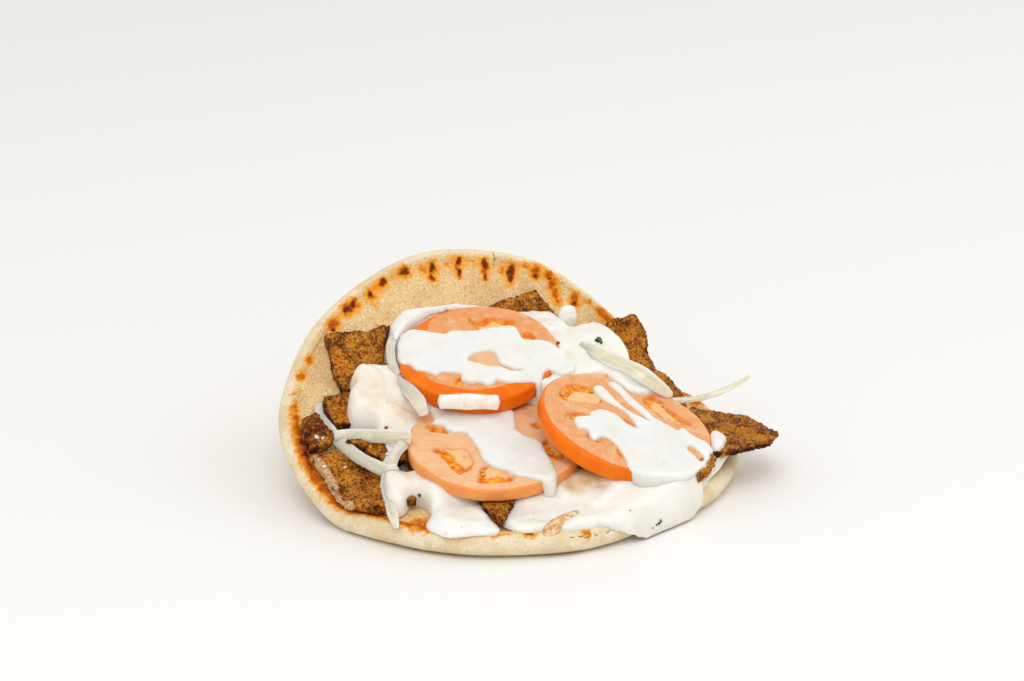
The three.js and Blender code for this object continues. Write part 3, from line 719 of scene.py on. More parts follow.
slices = []
seed_places = []
for number, tomato in enumerate(SLICES, start=1):
    radius, thick = tomato["radius"], tomato["thick"]
    flat_radius = radius - EDGE_ROUNDING
    section = [(r, 0) for r in np.arange(0, flat_radius - 0.2, 0.45)]
    for turn in np.radians(np.linspace(90, -90, 19)):
        reach = (EDGE_ROUNDING + SKIN_BULGE) * abs(math.cos(turn)) ** 0.45
        rise = math.copysign(abs(math.sin(turn)) ** 0.6, math.sin(turn))
        section.append((flat_radius + reach, thick / 2 * (rise - 1)))
    section += [(r, -thick) for r in np.arange(flat_radius - 0.6, 0, -0.9)] + [(0, -thick)]
    slice_piece = spun(f"tomato_slice_{number}", section, steps=264, gap=0.01)

    own = own_points(slice_piece)
    u, v, h = own.T
    out = np.hypot(u, v)
    rings = [curve_through(pocket, POCKET_STEP) for pocket in POCKETS[number - 1]]
    wavy = np.column_stack([u + 0.5 * lumps(own, 2.5, number), v + 0.5 * lumps(own, 2.5, number + 9)])
    gel_depth = np.max([depth_inside(wavy, ring) for ring in rings], axis=0)
    on_face = (out < radius - 0.9) & ((h > -0.4) | (h < 0.4 - thick))
    gel_share = np.clip(gel_depth / 0.7 + 0.5, 0, 1) * on_face
    # The pale lobe in a pocket sits off to one side, so that the gel round it is uneven.
    aside = wavy + np.array(tomato["lobe_aside"])
    lobe_depth = np.max([depth_inside(aside, ring) for ring in rings], axis=0)
    lobe_depth = np.minimum(lobe_depth - LOBE_MARGIN, gel_depth + 0.4)
    lobe_depth += 1.1 * lumps(own, 3.4, number + 30)
    lobe_share = np.clip(lobe_depth / 0.6, 0, 1) * on_face
    mark(slice_piece, "gel", gel_share)
    mark(slice_piece, "lobe", lobe_share)
    mark(slice_piece, "seam", falloff(gel_depth - 0.1, 0.45) * on_face)
    around = np.arctan2(v, u)
    skin_reach = 0.55 + 0.25 * lumps(own, 5, number + 40)
    for toward, half_turn, reach in SKIN_SHOWS[number - 1]:
        skin_reach = skin_reach + reach * falloff(degrees_off(around, toward), half_turn)
    mark(slice_piece, "skin", np.clip((out - radius + skin_reach) / 0.5, 0, 1))
    from_patch = np.hypot(u - PALE_PATCH[0], v - PALE_PATCH[1])
    paler = 0.8 * (number == 1) * falloff(from_patch, PALE_PATCH_SIZE)
    mark(slice_piece, "pale", tomato["pale"] + paler)
    mark(slice_piece, "cut", own / 1000)
    rays = np.column_stack([20 * np.cos(around), 20 * np.sin(around), out * 0.3])
    mark(slice_piece, "rays", rays / 1000)
    sink = GEL_SINK * gel_share - LOBE_RISE * lobe_share + 0.25 * lumps(own, 1.5, 3) * gel_share
    sag = 0.25 * lumps(own, 11, number + 3) + 0.1 * lumps(own, 4, number + 5)
    top_side = h > -thick / 2
    height = h + sag - np.where(top_side, sink, -sink)
    wobble = 1 + 0.012 * np.sin(2 * around + number) + 0.008 * np.sin(5 * around + 2 * number)
    for toward, half_turn, reach in tomato["dents"]:
        wobble += reach / radius * falloff(degrees_off(around, toward), half_turn)
    edge_wobble = np.where(out > 0, 1 + (wobble - 1) * (out / radius) ** 2, 1)
    put_points(slice_piece, on_slice(tomato, u * edge_wobble, v * edge_wobble, height))
    ready(slice_piece, tomato_flesh, "tomato", f"tomato_{number}")
    slices.append(slice_piece)

    # Seeds stick in the gel, between a pocket's wall and its pale lobe.
    chance = random.Random(number)
    for ring in rings:
        for _ in range(len(ring) * (number - 1) // SEED_SPACING):
            x, y = ring[chance.randrange(len(ring))]
            inward = ring.mean(0) - (x, y)
            x, y = np.array((x, y)) + inward / (np.linalg.norm(inward) + 1e-9) * chance.uniform(0.9, 2.2)
            seed_places.append((tomato, x, y, chance.uniform(0, math.pi), chance.uniform(0.7, 1.1)))


def joined(name, pieces):
    """Makes many small pieces one."""
    only(pieces[0])
    for piece in pieces:
        piece.select_set(True)
    bpy.ops.object.join()
    pieces[0].name = name
    return pieces[0]


# The seeds: flat pale-yellow drops, one mesh.
pips = []
for tomato, x, y, turn, size in seed_places:
    bpy.ops.mesh.primitive_uv_sphere_add(segments=12, ring_count=8, radius=0.001)
    pip = bpy.context.active_object
    own = own_points(pip)
    narrow = 0.85 - 0.3 * own[:, 0]
    shape = np.column_stack([1.25 * np.ones(len(own)), 0.85 * narrow, 0.42 * np.ones(len(own))])
    long, wide, deep = (own * shape * size).T
    cosine, sine = math.cos(turn), math.sin(turn)
    u, v = x + long * cosine - wide * sine, y + long * sine + wide * cosine
    put_points(pip, on_slice(tomato, u, v, deep - SEED_DEPTH))
    pip.location = (0, 0, 0)
    pips.append(pip)
seed_husk = new_finish(
    "seed_husk", Roughness=0.25, Subsurface_Weight=0.3, Subsurface_Radius=(0.002, 0.001, 0.0004),
    Coat_Weight=0.5, Coat_Roughness=0.1,
)
seed_clouds = grain(seed_husk, object_places(seed_husk), 1.1, 1)
seed_tone = tinted(seed_husk, colour(236, 180, 60), colour(196, 150, 44), seed_clouds, 0.4, 0.6)
wear(seed_husk, "Base Color", seed_tone)
ready(joined("tomato_seeds", pips), seed_husk, "tomato")

# ---- Onion ----
# Strips cut from a raw white onion: thin, slightly cupped layers, translucent and faintly green,
# with fine lines running along them. Some hang over the rim of the bread.

# Each strip: waypoints, width and thickness, the way its flat side faces, and how wide its two ends
# are as a share of its width. The last one is wrapped in sauce.
STRIPS = [
    {"path": [(20.4, 46.4, 53.6), (17.6, 46.4, 52.6), (13.9, 46.4, 51.2), (9.4, 45.9, 49.6),
              (0, 46, 47.6), (-12, 46.4, 47), (-19, 44, 46.8), (-25.4, 39.4, 45.4), (-31, 32.6, 42.6),
              (-33.4, 26.5, 38.6)],
     "width": 3.8, "thick": 0.9, "facing": (-0.7, -0.6, 0.4), "ends": (0.5, 0.9)},
    {"path": [(-61.9, 40.7, 31.5), (-66.7, 33.8, 28.5), (-69.6, 24.8, 25.5), (-71.2, 16.4, 23.8),
              (-72.5, 6.7, 22.2), (-71.8, -1.9, 20.8), (-69.9, -7.7, 19.8), (-66.2, -10.3, 20)],
     "width": 5, "thick": 0.8, "facing": (-0.65, -0.67, 0.36), "ends": (0.85, 0.95)},
    {"path": [(-71.8, 21, 25.8), (-68.5, 17.3, 26.4), (-63.4, 9.4, 27), (-58, 0.6, 27.8),
              (-55.5, -6, 28.6)],
     "width": 5.4, "thick": 0.8, "facing": (-0.65, -0.67, 0.36), "ends": (0.75, 1)},
    {"path": [(-57.5, -4.4, 26.6), (-61.6, -4.9, 25), (-64.9, -5.3, 22), (-69.8, -8.2, 18.8),
              (-74.7, -12.1, 16.8), (-79.6, -19.1, 14.8), (-84.7, -27.1, 12.6), (-89.3, -34.4, 10.8)],
     "width": 4.2, "thick": 0.8, "facing": (-0.65, -0.67, 0.36), "ends": (1, 0.3)},
    {"path": [(-33.5, 33, 35.5), (-35.5, 24, 37), (-37.3, 15.4, 36.6), (-39.5, 8.6, 35.5),
              (-41.4, 3.9, 34), (-43, 0.5, 32)],
     "width": 5.6, "thick": 0.7, "facing": (-0.65, -0.67, 0.36), "ends": (0.7, 0.6)},
    {"path": [(31.8, -9, 42.9), (33.4, -14, 42.4), (33.8, -20.2, 41.8), (33.9, -28.4, 41),
              (34.8, -36.9, 40.2), (36.9, -43, 37.2), (40.3, -46.7, 33.2), (44.3, -49.5, 29)],
     "width": 6.2, "thick": 0.8, "facing": (-0.5, -0.5, 0.7), "ends": (0.9, 0.5)},
    {"path": [(52, -41.5, 22.5), (65.3, -42.5, 20), (75.4, -42.7, 19), (88, -42, 18.5),
              (102.4, -39.8, 18.5)],
     "width": 2.8, "thick": 1.2, "facing": (-0.5, -0.5, 0.7), "ends": (0.9, 0.25)},
    {"path": [(20.2, -86.4, 12.4), (24.5, -85.2, 12.6), (31, -83.7, 13.6), (36.5, -81.9, 15),
              (40.6, -80.8, 16)],
     "width": 4.6, "thick": 1.5, "facing": (-0.2, -0.6, 0.7), "ends": (0.95, 0.95)},
    {"path": [(-34.6, 2, 35), (-25.4, -7, 35), (-17.4, -15.2, 34.6)],
     "width": 6, "thick": 5, "facing": (-0.7, -0.7, 0.3), "ends": (0.95, 0.95), "coated": 1},
]
ONION_STEP = 0.9
ROUND_A_STRIP = 20  # points round its section
TAPER_LENGTH = 9  # how far from its ends a strip starts to narrow
BLUNT_LENGTH = 0.8  # how far from them it is rounded off
CUP = 0.1  # how hollow a layer is, as a share of its width

onion_flesh = new_finish(
    "onion_flesh", Roughness=0.24, Subsurface_Weight=0.75, Subsurface_Scale=1.0,
    Subsurface_Radius=(0.004, 0.004, 0.0025), Coat_Weight=0.3, Coat_Roughness=0.15,
)
strand = read_mark(onion_flesh, "strand", "Vector")
fibres = grain(onion_flesh, strand, 0.9, 3)
onion_clouds = grain(onion_flesh, object_places(onion_flesh), 7, 2)
onion_edge = read_mark(onion_flesh, "layer_edge")
onion_tone = tinted(onion_flesh, colour(216, 212, 188), colour(200, 197, 170), fibres, 0.4, 0.62)
onion_tone = tinted(onion_flesh, onion_tone, colour(232, 222, 194), onion_clouds, 0.46, 0.66, 0.8)
onion_tone = tinted(onion_flesh, onion_tone, colour(238, 236, 220), onion_edge, 0.55, 0.95, 0.85)
coat_clouds = grain(onion_flesh, object_places(onion_flesh), 4, 2, 0.6, 1.5)
coated_tone = tinted(onion_flesh, colour(244, 236, 230), colour(244, 220, 212), coat_clouds, 0.52, 0.66)
onion_tone = blend(onion_flesh, read_mark(onion_flesh, "coated"), onion_tone, coated_tone)
wear(onion_flesh, "Base Color", onion_tone)
relief(onion_flesh, fibres, 0.3, 0.7)

for number, strip in enumerate(STRIPS, start=1):
    width, thick = strip["width"], strip["thick"]
    coated = strip.get("coated", 0)
    squareness = 0.35 if coated else 0.6  # of the section's corners
    path = curve_through(strip["path"], ONION_STEP, closed=False)
    length = np.linalg.norm(np.diff(path, axis=0), axis=1).sum()
    along = np.gradient(path, axis=0)
    along /= np.linalg.norm(along, axis=1)[:, None]
    steps = len(path)
    vertices = []
    strands = []
    rims = []
    for i, (middle, ahead) in enumerate(zip(path, along)):
        side = np.cross(strip["facing"], ahead)
        side /= np.linalg.norm(side)
        up = np.cross(ahead, side)
        near_end = min(i, steps - 1 - i) / (steps - 1) * length
        end_width = strip["ends"][0 if i < steps / 2 else 1]
        taper = end_width + (1 - end_width) * min(1, near_end / TAPER_LENGTH) ** 0.7
        taper *= 1 + 0.14 * noise.noise(Vector((i * 0.12, number * 5.0, 0)))
        blunt = min(1, near_end / BLUNT_LENGTH) ** 0.5
        for k in range(ROUND_A_STRIP):
            turn = 2 * math.pi * k / ROUND_A_STRIP
            across = math.copysign(abs(math.cos(turn)) ** squareness, math.cos(turn))
            lift = math.copysign(abs(math.sin(turn)) ** squareness, math.sin(turn))
            cup = 0 if coated else -CUP * width * (across**2 - 0.4)
            ridge = 0.06 * noise.noise(Vector((across * 3.5, i * 0.03, number * 3.0)))
            ridge += 0.2 * noise.noise(Vector((across, i * 0.15, number * 7.0)))
            offset = (across * width / 2 * taper) * side * max(blunt, 0.15)
            height = lift * thick / 2 * max(blunt, 0.3) * (1 - 0.25 * across**2) + cup * taper + ridge
            offset = offset + height * up
            vertices.append(middle + offset)
            strands.append((across * width / 2, i * 0.06, lift + number * 10))
            rims.append(abs(across))
    faces = []
    for i in range(steps - 1):
        for k in range(ROUND_A_STRIP):
            here = i * ROUND_A_STRIP + k
            beside = i * ROUND_A_STRIP + (k + 1) % ROUND_A_STRIP
            faces.append((here, beside, beside + ROUND_A_STRIP, here + ROUND_A_STRIP))
    faces.append(tuple(range(ROUND_A_STRIP))[::-1])
    faces.append(tuple(range((steps - 1) * ROUND_A_STRIP, steps * ROUND_A_STRIP)))
    strip_mesh = bpy.data.meshes.new(f"onion_strip_{number}")
    strip_mesh.from_pydata([tuple(v / 1000 + BREAD_MIDDLE) for v in vertices], [], faces)
    onion = set_down(f"onion_strip_{number}", strip_mesh)
    edit_whole(onion, (bpy.ops.mesh.normals_make_consistent, {"inside": False}))
    mark(onion, "strand", np.array(strands) / 1000)
    mark(onion, "layer_edge", np.array(rims))
    mark(onion, "coated", np.full(len(vertices), float(coated)))
    ready(onion, onion_flesh, "onion", f"onion_{number}")

# ---- Tzatziki ----
# Thick white yoghurt sauce with grated cucumber. One deep bed of it holds the heap together and laps
# over the front rim down to the table; more was spooned over the tomatoes, where it lies in rounded
# tongues and hangs over their edges.

SLAB = 4  # thickness of a flat slab of sauce before it settles
PLAN_STEP = 0.8
PLAN_REACH = 104
PLAN = np.arange(-PLAN_REACH, PLAN_REACH + PLAN_STEP, PLAN_STEP)
SUNK = 0.6  # how far sauce reaches into what it lies on

sauce = new_finish(
    "tzatziki", Roughness=0.32, Specular_IOR_Level=0.4, Subsurface_Weight=0.5, Subsurface_Scale=1.0,
    Subsurface_Radius=(0.005, 0.0045, 0.0035), Coat_Weight=0.2, Coat_Roughness=0.2,
)
sauce_places = object_places(sauce)
sauce_clouds = grain(sauce, sauce_places, 14, 3)
cucumber = grain(sauce, sauce_places, 4.2, 2)
herbs = grain(sauce, sauce_places, 2.6, 0)
film_clouds = grain(sauce, sauce_places, 3.5, 2)
cream = tinted(sauce, colour(243, 241, 234), colour(238, 234, 223), sauce_clouds, 0.4, 0.66)
cream = tinted(sauce, cream, colour(226, 230, 208), cucumber, 0.64, 0.76, 0.3)
cream = tinted(sauce, cream, colour(170, 178, 150), herbs, 0.8, 0.83, 0.3)
# Beige where the sauce is thin over bread and onion; on the left lump of the bed the same beige is painted
# shade.
thin_film_and_shade_tone = tinted(sauce, colour(230, 210, 174), colour(214, 188, 144), film_clouds, 0.4, 0.62)
cream = tinted(sauce, cream, thin_film_and_shade_tone, read_mark(sauce, "thin_film_and_shade"), 0, 1)
wear(sauce, "Base Color", cream)
ripples = sums(sauce, "ADD", grain(sauce, sauce_places, 3, 3), grain(sauce, sauce_places, 0.9, 1))
relief(sauce, ripples, 0.3, 0.25)


def heights_over(pieces):
    """The highest surface of the pieces over each place of a plan grid, and 0 over the bare table."""
    grid = np.zeros((len(PLAN), len(PLAN)))
    graph = bpy.context.evaluated_depsgraph_get()
    for piece in pieces:
        tree = BVHTree.FromObject(piece, graph)
        corners = points_of(piece)
        low_x, low_y = corners[:, :2].min(0)
        high_x, high_y = corners[:, :2].max(0)
        for i in np.flatnonzero((PLAN >= low_x) & (PLAN <= high_x)):
            for j in np.flatnonzero((PLAN >= low_y) & (PLAN <= high_y)):
                above = Vector(np.array((PLAN[i], PLAN[j], 200)) / 1000 + BREAD_MIDDLE)
                place = tree.ray_cast(above, Vector((0, 0, -1)))[0]
                if place is not None:
                    grid[i, j] = max(grid[i, j], place.z * 1000)
    return grid


def softened(grid, width):
    """The same heights as thick sauce would bridge them."""
    reach = int(3 * width / PLAN_STEP)
    weights = np.exp(-0.5 * (np.arange(-reach, reach + 1) * PLAN_STEP / width) ** 2)
    weights /= weights.sum()
    for axis in (0, 1):
        grid = sum(w * np.roll(grid, k - reach, axis=axis) for k, w in enumerate(weights))
    return grid


def height_at(grid, x, y):
    """The grid's height at some places, blended between its points."""
    i = np.clip((x - PLAN[0]) / PLAN_STEP, 0, len(PLAN) - 1.001)
    j = np.clip((y - PLAN[0]) / PLAN_STEP, 0, len(PLAN) - 1.001)
    i0, j0 = i.astype(int), j.astype(int)
    fi, fj = i - i0, j - j0
    near = grid[i0, j0] * (1 - fj) + grid[i0, j0 + 1] * fj
    far = grid[i0 + 1, j0] * (1 - fj) + grid[i0 + 1, j0 + 1] * fj
    return near * (1 - fi) + far * fi


def pour(name, outline, top_at, base_at, fineness, seed, holes=(), ragged=0.5):
    """A body of sauce: a slab cut to an outline, then settled between a base and a top."""
    edge = curve_through(outline, 1.0)
    ahead = np.roll(edge, -1, axis=0) - np.roll(edge, 1, axis=0)
    ahead /= np.linalg.norm(ahead, axis=1)[:, None]
    x, y = edge.T
    anticlockwise = np.sign(np.sum(x * np.roll(y, -1) - y * np.roll(x, -1)))
    slab_edge = edge + ragged * anticlockwise * np.column_stack([ahead[:, 1], -ahead[:, 0]])
    bpy.ops.object.select_all(action="DESELECT")
    bpy.ops.mesh.primitive_circle_add(vertices=len(edge), radius=0.01, fill_type="NGON")
    piece = bpy.context.active_object
    piece.name = name
    put_points(piece, np.column_stack([slab_edge, np.zeros(len(edge))]))
    thicken = {"TRANSFORM_OT_translate": {"value": (0, 0, SLAB / 1000)}}
    edit_whole(
        piece, (bpy.ops.mesh.extrude_region_move, thicken),
        (bpy.ops.mesh.normals_make_consistent, {"inside": False}),
    )
    add_modifier(piece, "REMESH", mode="VOXEL", voxel_size=fineness / 1000)

    def depth_in_sauce(x, y):
        places = np.column_stack([x, y])
        inside = depth_inside(places, edge)
        for hole in holes:
            inside = np.minimum(inside, -depth_inside(places, curve_through(hole, 1.0)))
        flat_places = np.column_stack([x, y, 0 * x])
        return inside + ragged * (lumps(flat_places, 4.4, seed) + 0.35 * lumps(flat_places, 2.2, seed + 1))

    x, y, z = points_of(piece).T
    inside = depth_in_sauce(x, y)
    share = np.clip(z / SLAB, 0, 1)
    base = base_at(x, y)
    top = np.maximum(top_at(x, y, np.maximum(inside, 0)), base)
    top = np.where(inside < 0, base - 0.4, top)
    put_points(piece, np.column_stack([x, y, np.maximum(base + share * (top - base), 0.3)]))
    add_modifier(piece, "REMESH", mode="VOXEL", voxel_size=fineness / 1000)
    add_modifier(piece, "SMOOTH", factor=0.5, iterations=8)
    x, y, z = points_of(piece).T
    thin_film_and_shade = 0.35 * np.clip(1 - depth_in_sauce(x, y) / 0.8, 0, 1)
    # The film places include painted shade on the left lump of the bed.
    for px, py, pz, size, strength in THIN_FILM_AND_SHADE:
        away = np.sqrt((x - px) ** 2 + (y - py) ** 2 + (z - pz) ** 2)
        thin_film_and_shade = np.maximum(thin_film_and_shade, strength * falloff(away, size))
    mark(piece, "thin_film_and_shade", thin_film_and_shade)
    return piece


def rounded(inside, lip):
    """The rounded edge of thick sauce: 0 at its outline, 1 once a lip's width inside it."""
    return np.sqrt(1 - (1 - np.clip(inside / lip, 0, 1)) ** 2)


# Places where the sauce is thin enough for what lies under it to show, and two wide ones on the left lump
# of the bed whose darker cream is painted shade: place, size, strength.
THIN_FILM_AND_SHADE = [
    (-16.6, -58.8, 19.5, 7.5, 1), (-17.5, -65, 18.3, 7.5, 1), (-25.6, -56.1, 17.8, 7, 1),
    (-25.7, -64.1, 17.5, 6, 0.9), (-19.1, -70.8, 17.4, 4, 0.7), (-62, -22, 16, 5, 0.5),
    (-64, -14, 18, 4, 0.5), (-36, 22, 40, 5, 0.6), (-32, 30, 42, 4, 0.5), (-41, 8, 34, 5, 0.7),
    # The last entry below and the one after it lie on the thick left lump: painted shade, not thin sauce.
    (25, -12, 43, 4, 0.5), (-18, 46, 49, 3, 0.4), (28, -93, 9, 3, 0.4), (-50, 24, 38, 14, 0.5),
    (-44, 12, 30, 9, 0.6),
]

HEAP_SPREAD = 9  # how far each of the heap's heights tells
LEAST_DEPTH = 1.3  # of the bed
BED_LIP = 4  # how wide the bed's edge is rounded, and below it a fold's
FOLD_LIP = 2.4
SPILL_START, SPILL_END = 262, 276  # bearings between which the bed reaches down to the table
# The heap's height at a few places, blended between them.
HEAP = [
    (0, 14, 40), (8, 42, 51.5), (0, 46, 52), (-7, 47.5, 51.8), (-12, 44.5, 50), (-19, 46, 49),
    (-24, 41, 45.5), (-42, 32, 43), (-34, 30, 39.5), (-54, 26, 39), (-35, 18, 35.5), (-45, 18, 37.5),
    (-54, 15, 32), (-47, 2, 22), (-42, 9, 28), (-39, 5, 27), (-24, -8, 29), (-65, 2, 22), (-52, -8, 21),
    (-60, -10, 18), (-31, -28, 20), (-65, -18, 18.5), (-74, -45, 12), (-45, -66, 11.5), (-14, -52, 17),
    (-17, -62, 17), (-31, -58, 16), (-22, -72, 13), (-33, -74, 11), (-40, -73, 10.5), (-10, -70, 20),
    (-6, -79, 19.5), (3, -85, 19), (10, -88, 17.5), (-8, -88, 13), (18, -88, 14), (25, -86, 11),
    (14, -58, 22), (34, -74, 10), (46, -46, 22), (10, -18, 39.5), (20, -22, 40.5), (28, -24, 40),
    (40, -30, 34), (34, -6, 44), (38, 24, 44.5), (46, 18, 43.5), (26, 38, 47), (48, -12, 43),
    (52, 4, 43.5),
]
# The bed's outline, and two openings in it where the meat shows.
BED = [
    (-76, -10), (-81, -18), (-81, -23), (-77.7, -25), (-70, -21.6), (-67.6, -25), (-71, -33),
    (-77.9, -37.3), (-80, -42.3), (-79.6, -48), (-78.7, -51.7), (-74.8, -54.6), (-70.4, -57.4),
    (-66.2, -60.8), (-62.7, -61.7), (-59.6, -58), (-57.6, -52.5), (-55.6, -47.3), (-53, -42.5),
    (-50, -38), (-43, -41), (-44.6, -47), (-51.4, -51.5), (-55.5, -54.6), (-58, -60), (-58.5, -65),
    (-56, -69), (-50.5, -72.4), (-46, -76), (-41.5, -79.4), (-36.4, -82.2), (-32.1, -83.6),
    (-28.4, -86.6), (-25.4, -88.6), (-22.4, -89.6), (-18.4, -90.4), (-14.4, -91.1), (-9.6, -91.3),
    (-3.2, -91.5), (3.2, -91.7), (9.6, -91.7), (15.2, -91.4), (18.4, -89.8), (19.8, -86.6), (20, -82),
    (26, -74), (36, -64), (44, -55), (46, -48), (43, -39), (46, -31.5), (51, -22), (55, -14), (58.5, -5),
    (59.5, 3), (56, 8.5), (50, 11), (50, 17), (53.5, 23), (47.5, 26.5), (44.5, 30.5), (41, 33.5),
    (30, 36.5), (18, 43), (14, 45), (10, 46.4), (5, 48), (-0.6, 50.2), (-5.6, 52.3), (-9.5, 52.3),
    (-14, 51.2), (-18, 49), (-21.5, 45.5), (-25, 41), (-28, 37), (-30.5, 36.5), (-34, 39), (-37, 40.4),
    (-41, 40.9), (-45, 39.8), (-48.3, 38.4), (-50.2, 36), (-51.5, 33.4), (-54.3, 32), (-57.4, 30),
    (-60, 27), (-61.6, 23), (-61, 20.2), (-58.5, 16.4), (-58.6, 12.5), (-62, 9), (-65.5, 4), (-68.5, -1),
    (-72, -5),
]
BED_HOLES = [
    [(-66.1, 16.8), (-62, 12.6), (-60.9, 8.3), (-67.8, 0.7), (-69.4, -4), (-70.2, 3.2), (-69, 10)],
    [(-55.5, -0.5), (-54.7, -6.2), (-58.2, -10.4), (-61.4, -9), (-61, -4.4)],
]
# Where a later spoonful lies on an earlier one: its outline and how much higher it stands.
FOLDS = [
    ([(-32, -62), (-29, -68), (-27, -76.5), (-17, -78), (-10, -80.4), (-3, -82.8), (3.2, -86.5),
      (10.3, -89), (17.6, -91.7), (30, -84), (44, -70), (50, -50), (20, -50), (-10, -46),
      (-26, -50)], 2.0),
    ([(-52, 36), (-58, 26), (-56, 19), (-49, 15), (-45, 21), (-40, 30), (-42, 37)], 1.5),
    ([(-56, 14), (-54, 7), (-46, 2), (-40, 8), (-44, 15), (-50, 17)], 1.2),
    ([(28, 30), (24, 18), (30, 10), (42, 8), (49, 16), (45, 28)], 1.3),
    ([(37, -2), (42, -14), (51, -14), (54, -2), (50, 6), (42, 6)], 1.2),
    ([(-76, -42), (-74, -50), (-66, -56), (-58, -50), (-60, -40), (-68, -36)], 0.9),
    ([(-79, -14), (-80, -22), (-72, -20), (-66, -14), (-70, -8)], 0.9),
]


def heap_top(x, y):
    """The heap's height at some places."""
    total = 0
    weights = 0
    for px, py, height in HEAP:
        weight = np.exp(-((x - px) ** 2 + (y - py) ** 2) / HEAP_SPREAD**2)
        total = total + weight * height
        weights = weights + weight
    return total / weights


def bread_or_table(x, y):
    """What the bed lies on: the bread, its front rim, and the table, where the spill reaches it."""
    bearing = np.degrees(np.arctan2(y, x)) % 360
    out = np.hypot(x, y) + rim_dent(bearing)
    past = np.clip((out - BREAD_RADIUS + RIM_WIDTH) / RIM_WIDTH, 0, 1)
    rim = HALF_BREAD * (1 + np.sqrt(1 - past**2)) - HALF_BREAD * np.clip((out - BREAD_RADIUS) / 1.2, 0, 1)
    # Beside the spill the bed hangs over the rim, and ends higher up the further it is from it.
    hanging = np.maximum((SPILL_START - bearing) * 0.75, (bearing - SPILL_END) * 1.3)
    hanging = np.clip(hanging, 0, 7)
    return np.where((y < -60) & (past > 0), np.maximum(rim, hanging), bread_top(x, y))


def bed_top(x, y, inside):
    """The bed's surface, which stays under the slices that lie on it."""
    floor = bread_or_table(x, y)
    places = np.column_stack([x, y, 0 * x])
    uneven = 1.0 * lumps(places, 13, 21) + 0.7 * lumps(places, 6, 22) + 0.45 * lumps(places, 3, 23)
    depth = np.maximum(np.maximum(heap_top(x, y) - floor, 2 * LEAST_DEPTH) + uneven, LEAST_DEPTH)
    spread = np.column_stack([x, y]) + 0.8 * lumps(places, 5, 24)[:, None]
    for outline, extra in FOLDS:
        depth = depth + extra * rounded(depth_inside(spread, curve_through(outline, 1.0)), FOLD_LIP)
    top = floor + depth * rounded(inside, BED_LIP)
    for tomato in SLICES:
        face, within = face_height(tomato, x, y)
        top = np.where(within > 0.2, np.minimum(top, face - 0.6 * tomato["thick"]), top)
    return top


def bed_base(x, y):
    return bread_or_table(x, y) - SUNK


bed = pour("tzatziki_bed", BED, bed_top, bed_base, fineness=0.8, seed=70, holes=BED_HOLES)
ready(bed, sauce, "tzatziki", "sauce_bed")

OVERHANG = 2.2  # how far sauce stands out past a slice's edge before it hangs down
heap_heights = heights_over([bread, bed, *meats])
slice_heights = [heights_over([piece]) for piece in slices]
grid_x, grid_y = [axis.ravel() for axis in np.meshgrid(PLAN, PLAN, indexing="ij")]


def on_food(*numbers):
    """The heights of the heap and some of the slices, and the same as sauce would bridge them."""
    lie = heap_heights
    bridged = heap_heights
    for number in numbers:
        lie = np.maximum(lie, slice_heights[number - 1])
        face, within = face_height(SLICES[number - 1], grid_x, grid_y)
        edge = np.where(within > -OVERHANG, face - 0.3, 0).reshape(lie.shape)
        bridged = np.maximum(bridged, edge)
    return lie, softened(np.maximum(lie, bridged), 0.8)


def spoon_on(name, outline, numbers, thickness, lip, seed, holes=()):
    """Sauce spooned over some of the slices; its outline and holes are drawn on the first one's face."""
    lie, bridged = on_food(*numbers)

    def in_plan(drawing):
        u, v = np.array(drawing, float).T
        return on_slice(SLICES[numbers[0] - 1], u, v, np.zeros(len(u)))[:, :2]

    def top_at(x, y, inside):
        places = np.column_stack([x, y, 0 * x])
        uneven = np.maximum(1 + 0.3 * lumps(places, 9, seed) + 0.15 * lumps(places, 4, seed + 1), 0.6)
        return height_at(bridged, x, y) + thickness * uneven * rounded(inside, lip)

    def base_at(x, y):
        return height_at(lie, x, y) - SUNK

    plan_holes = [in_plan(hole) for hole in holes]
    return pour(
        name, in_plan(outline), top_at, base_at, fineness=0.5, seed=seed, holes=plan_holes, ragged=0.45
    )


def lay_on_heap(name, outline, thickness, softness, fineness, seed):
    """A thin body that lies on the heap, stiff enough to bridge its small hollows."""
    bridged = softened(heap_heights, softness)

    def top_at(x, y, inside):
        return height_at(bridged, x, y) + thickness * rounded(inside, thickness)

    def base_at(x, y):
        return height_at(heap_heights, x, y) - SUNK

    return pour(name, outline, top_at, base_at, fineness, seed)


# The sauce on each slice, drawn on the slice's own face. The first slice's also runs over the third.
COAT_1 = [
    (-23.3, 15.8), (-20, 14.6), (-17.3, 13), (-12.8, 12.1), (-9.3, 13.6), (-3.1, 13.5), (0.9, 13.8),
    (5.5, 15.6), (10.1, 16.2), (15.7, 15.5), (17.6, 12.5), (18.8, 7.2), (21.7, 4.9), (25, 4.7),
    (28.8, 3.1), (31.9, -0.8), (35, -4), (37.5, -8), (38.1, -14), (35.5, -19.6), (32.3, -21),
    (30.1, -18.6), (27.5, -17), (25.6, -18.4), (24.4, -22), (22.8, -26), (21, -24.2), (10.9, -23.8),
    (6.6, -22.6), (4.9, -24.5), (2.6, -25.2), (-0.6, -23.4), (-4.9, -21.9), (-7.5, -20), (-7.8, -17),
    (-14.9, -15.6), (-16.7, -17.9), (-18.3, -17.3), (-21.5, -15.2), (-25.3, -13.2), (-27.4, -9.6),
    (-30.4, -8.4), (-31.8, -4.5), (-32, 0), (-31.2, 7), (-29.6, 12.8), (-26.3, 16.2),
]
HOLE_1 = [
    (-4.4, -8), (-1.5, -3.7), (4.2, -2), (7.2, -4.3), (7.2, -7.5), (9.2, -12.2), (16.5, -16.6),
    (12.2, -16.1), (7.9, -13.8), (3.6, -12.7), (-1.8, -9.8),
]
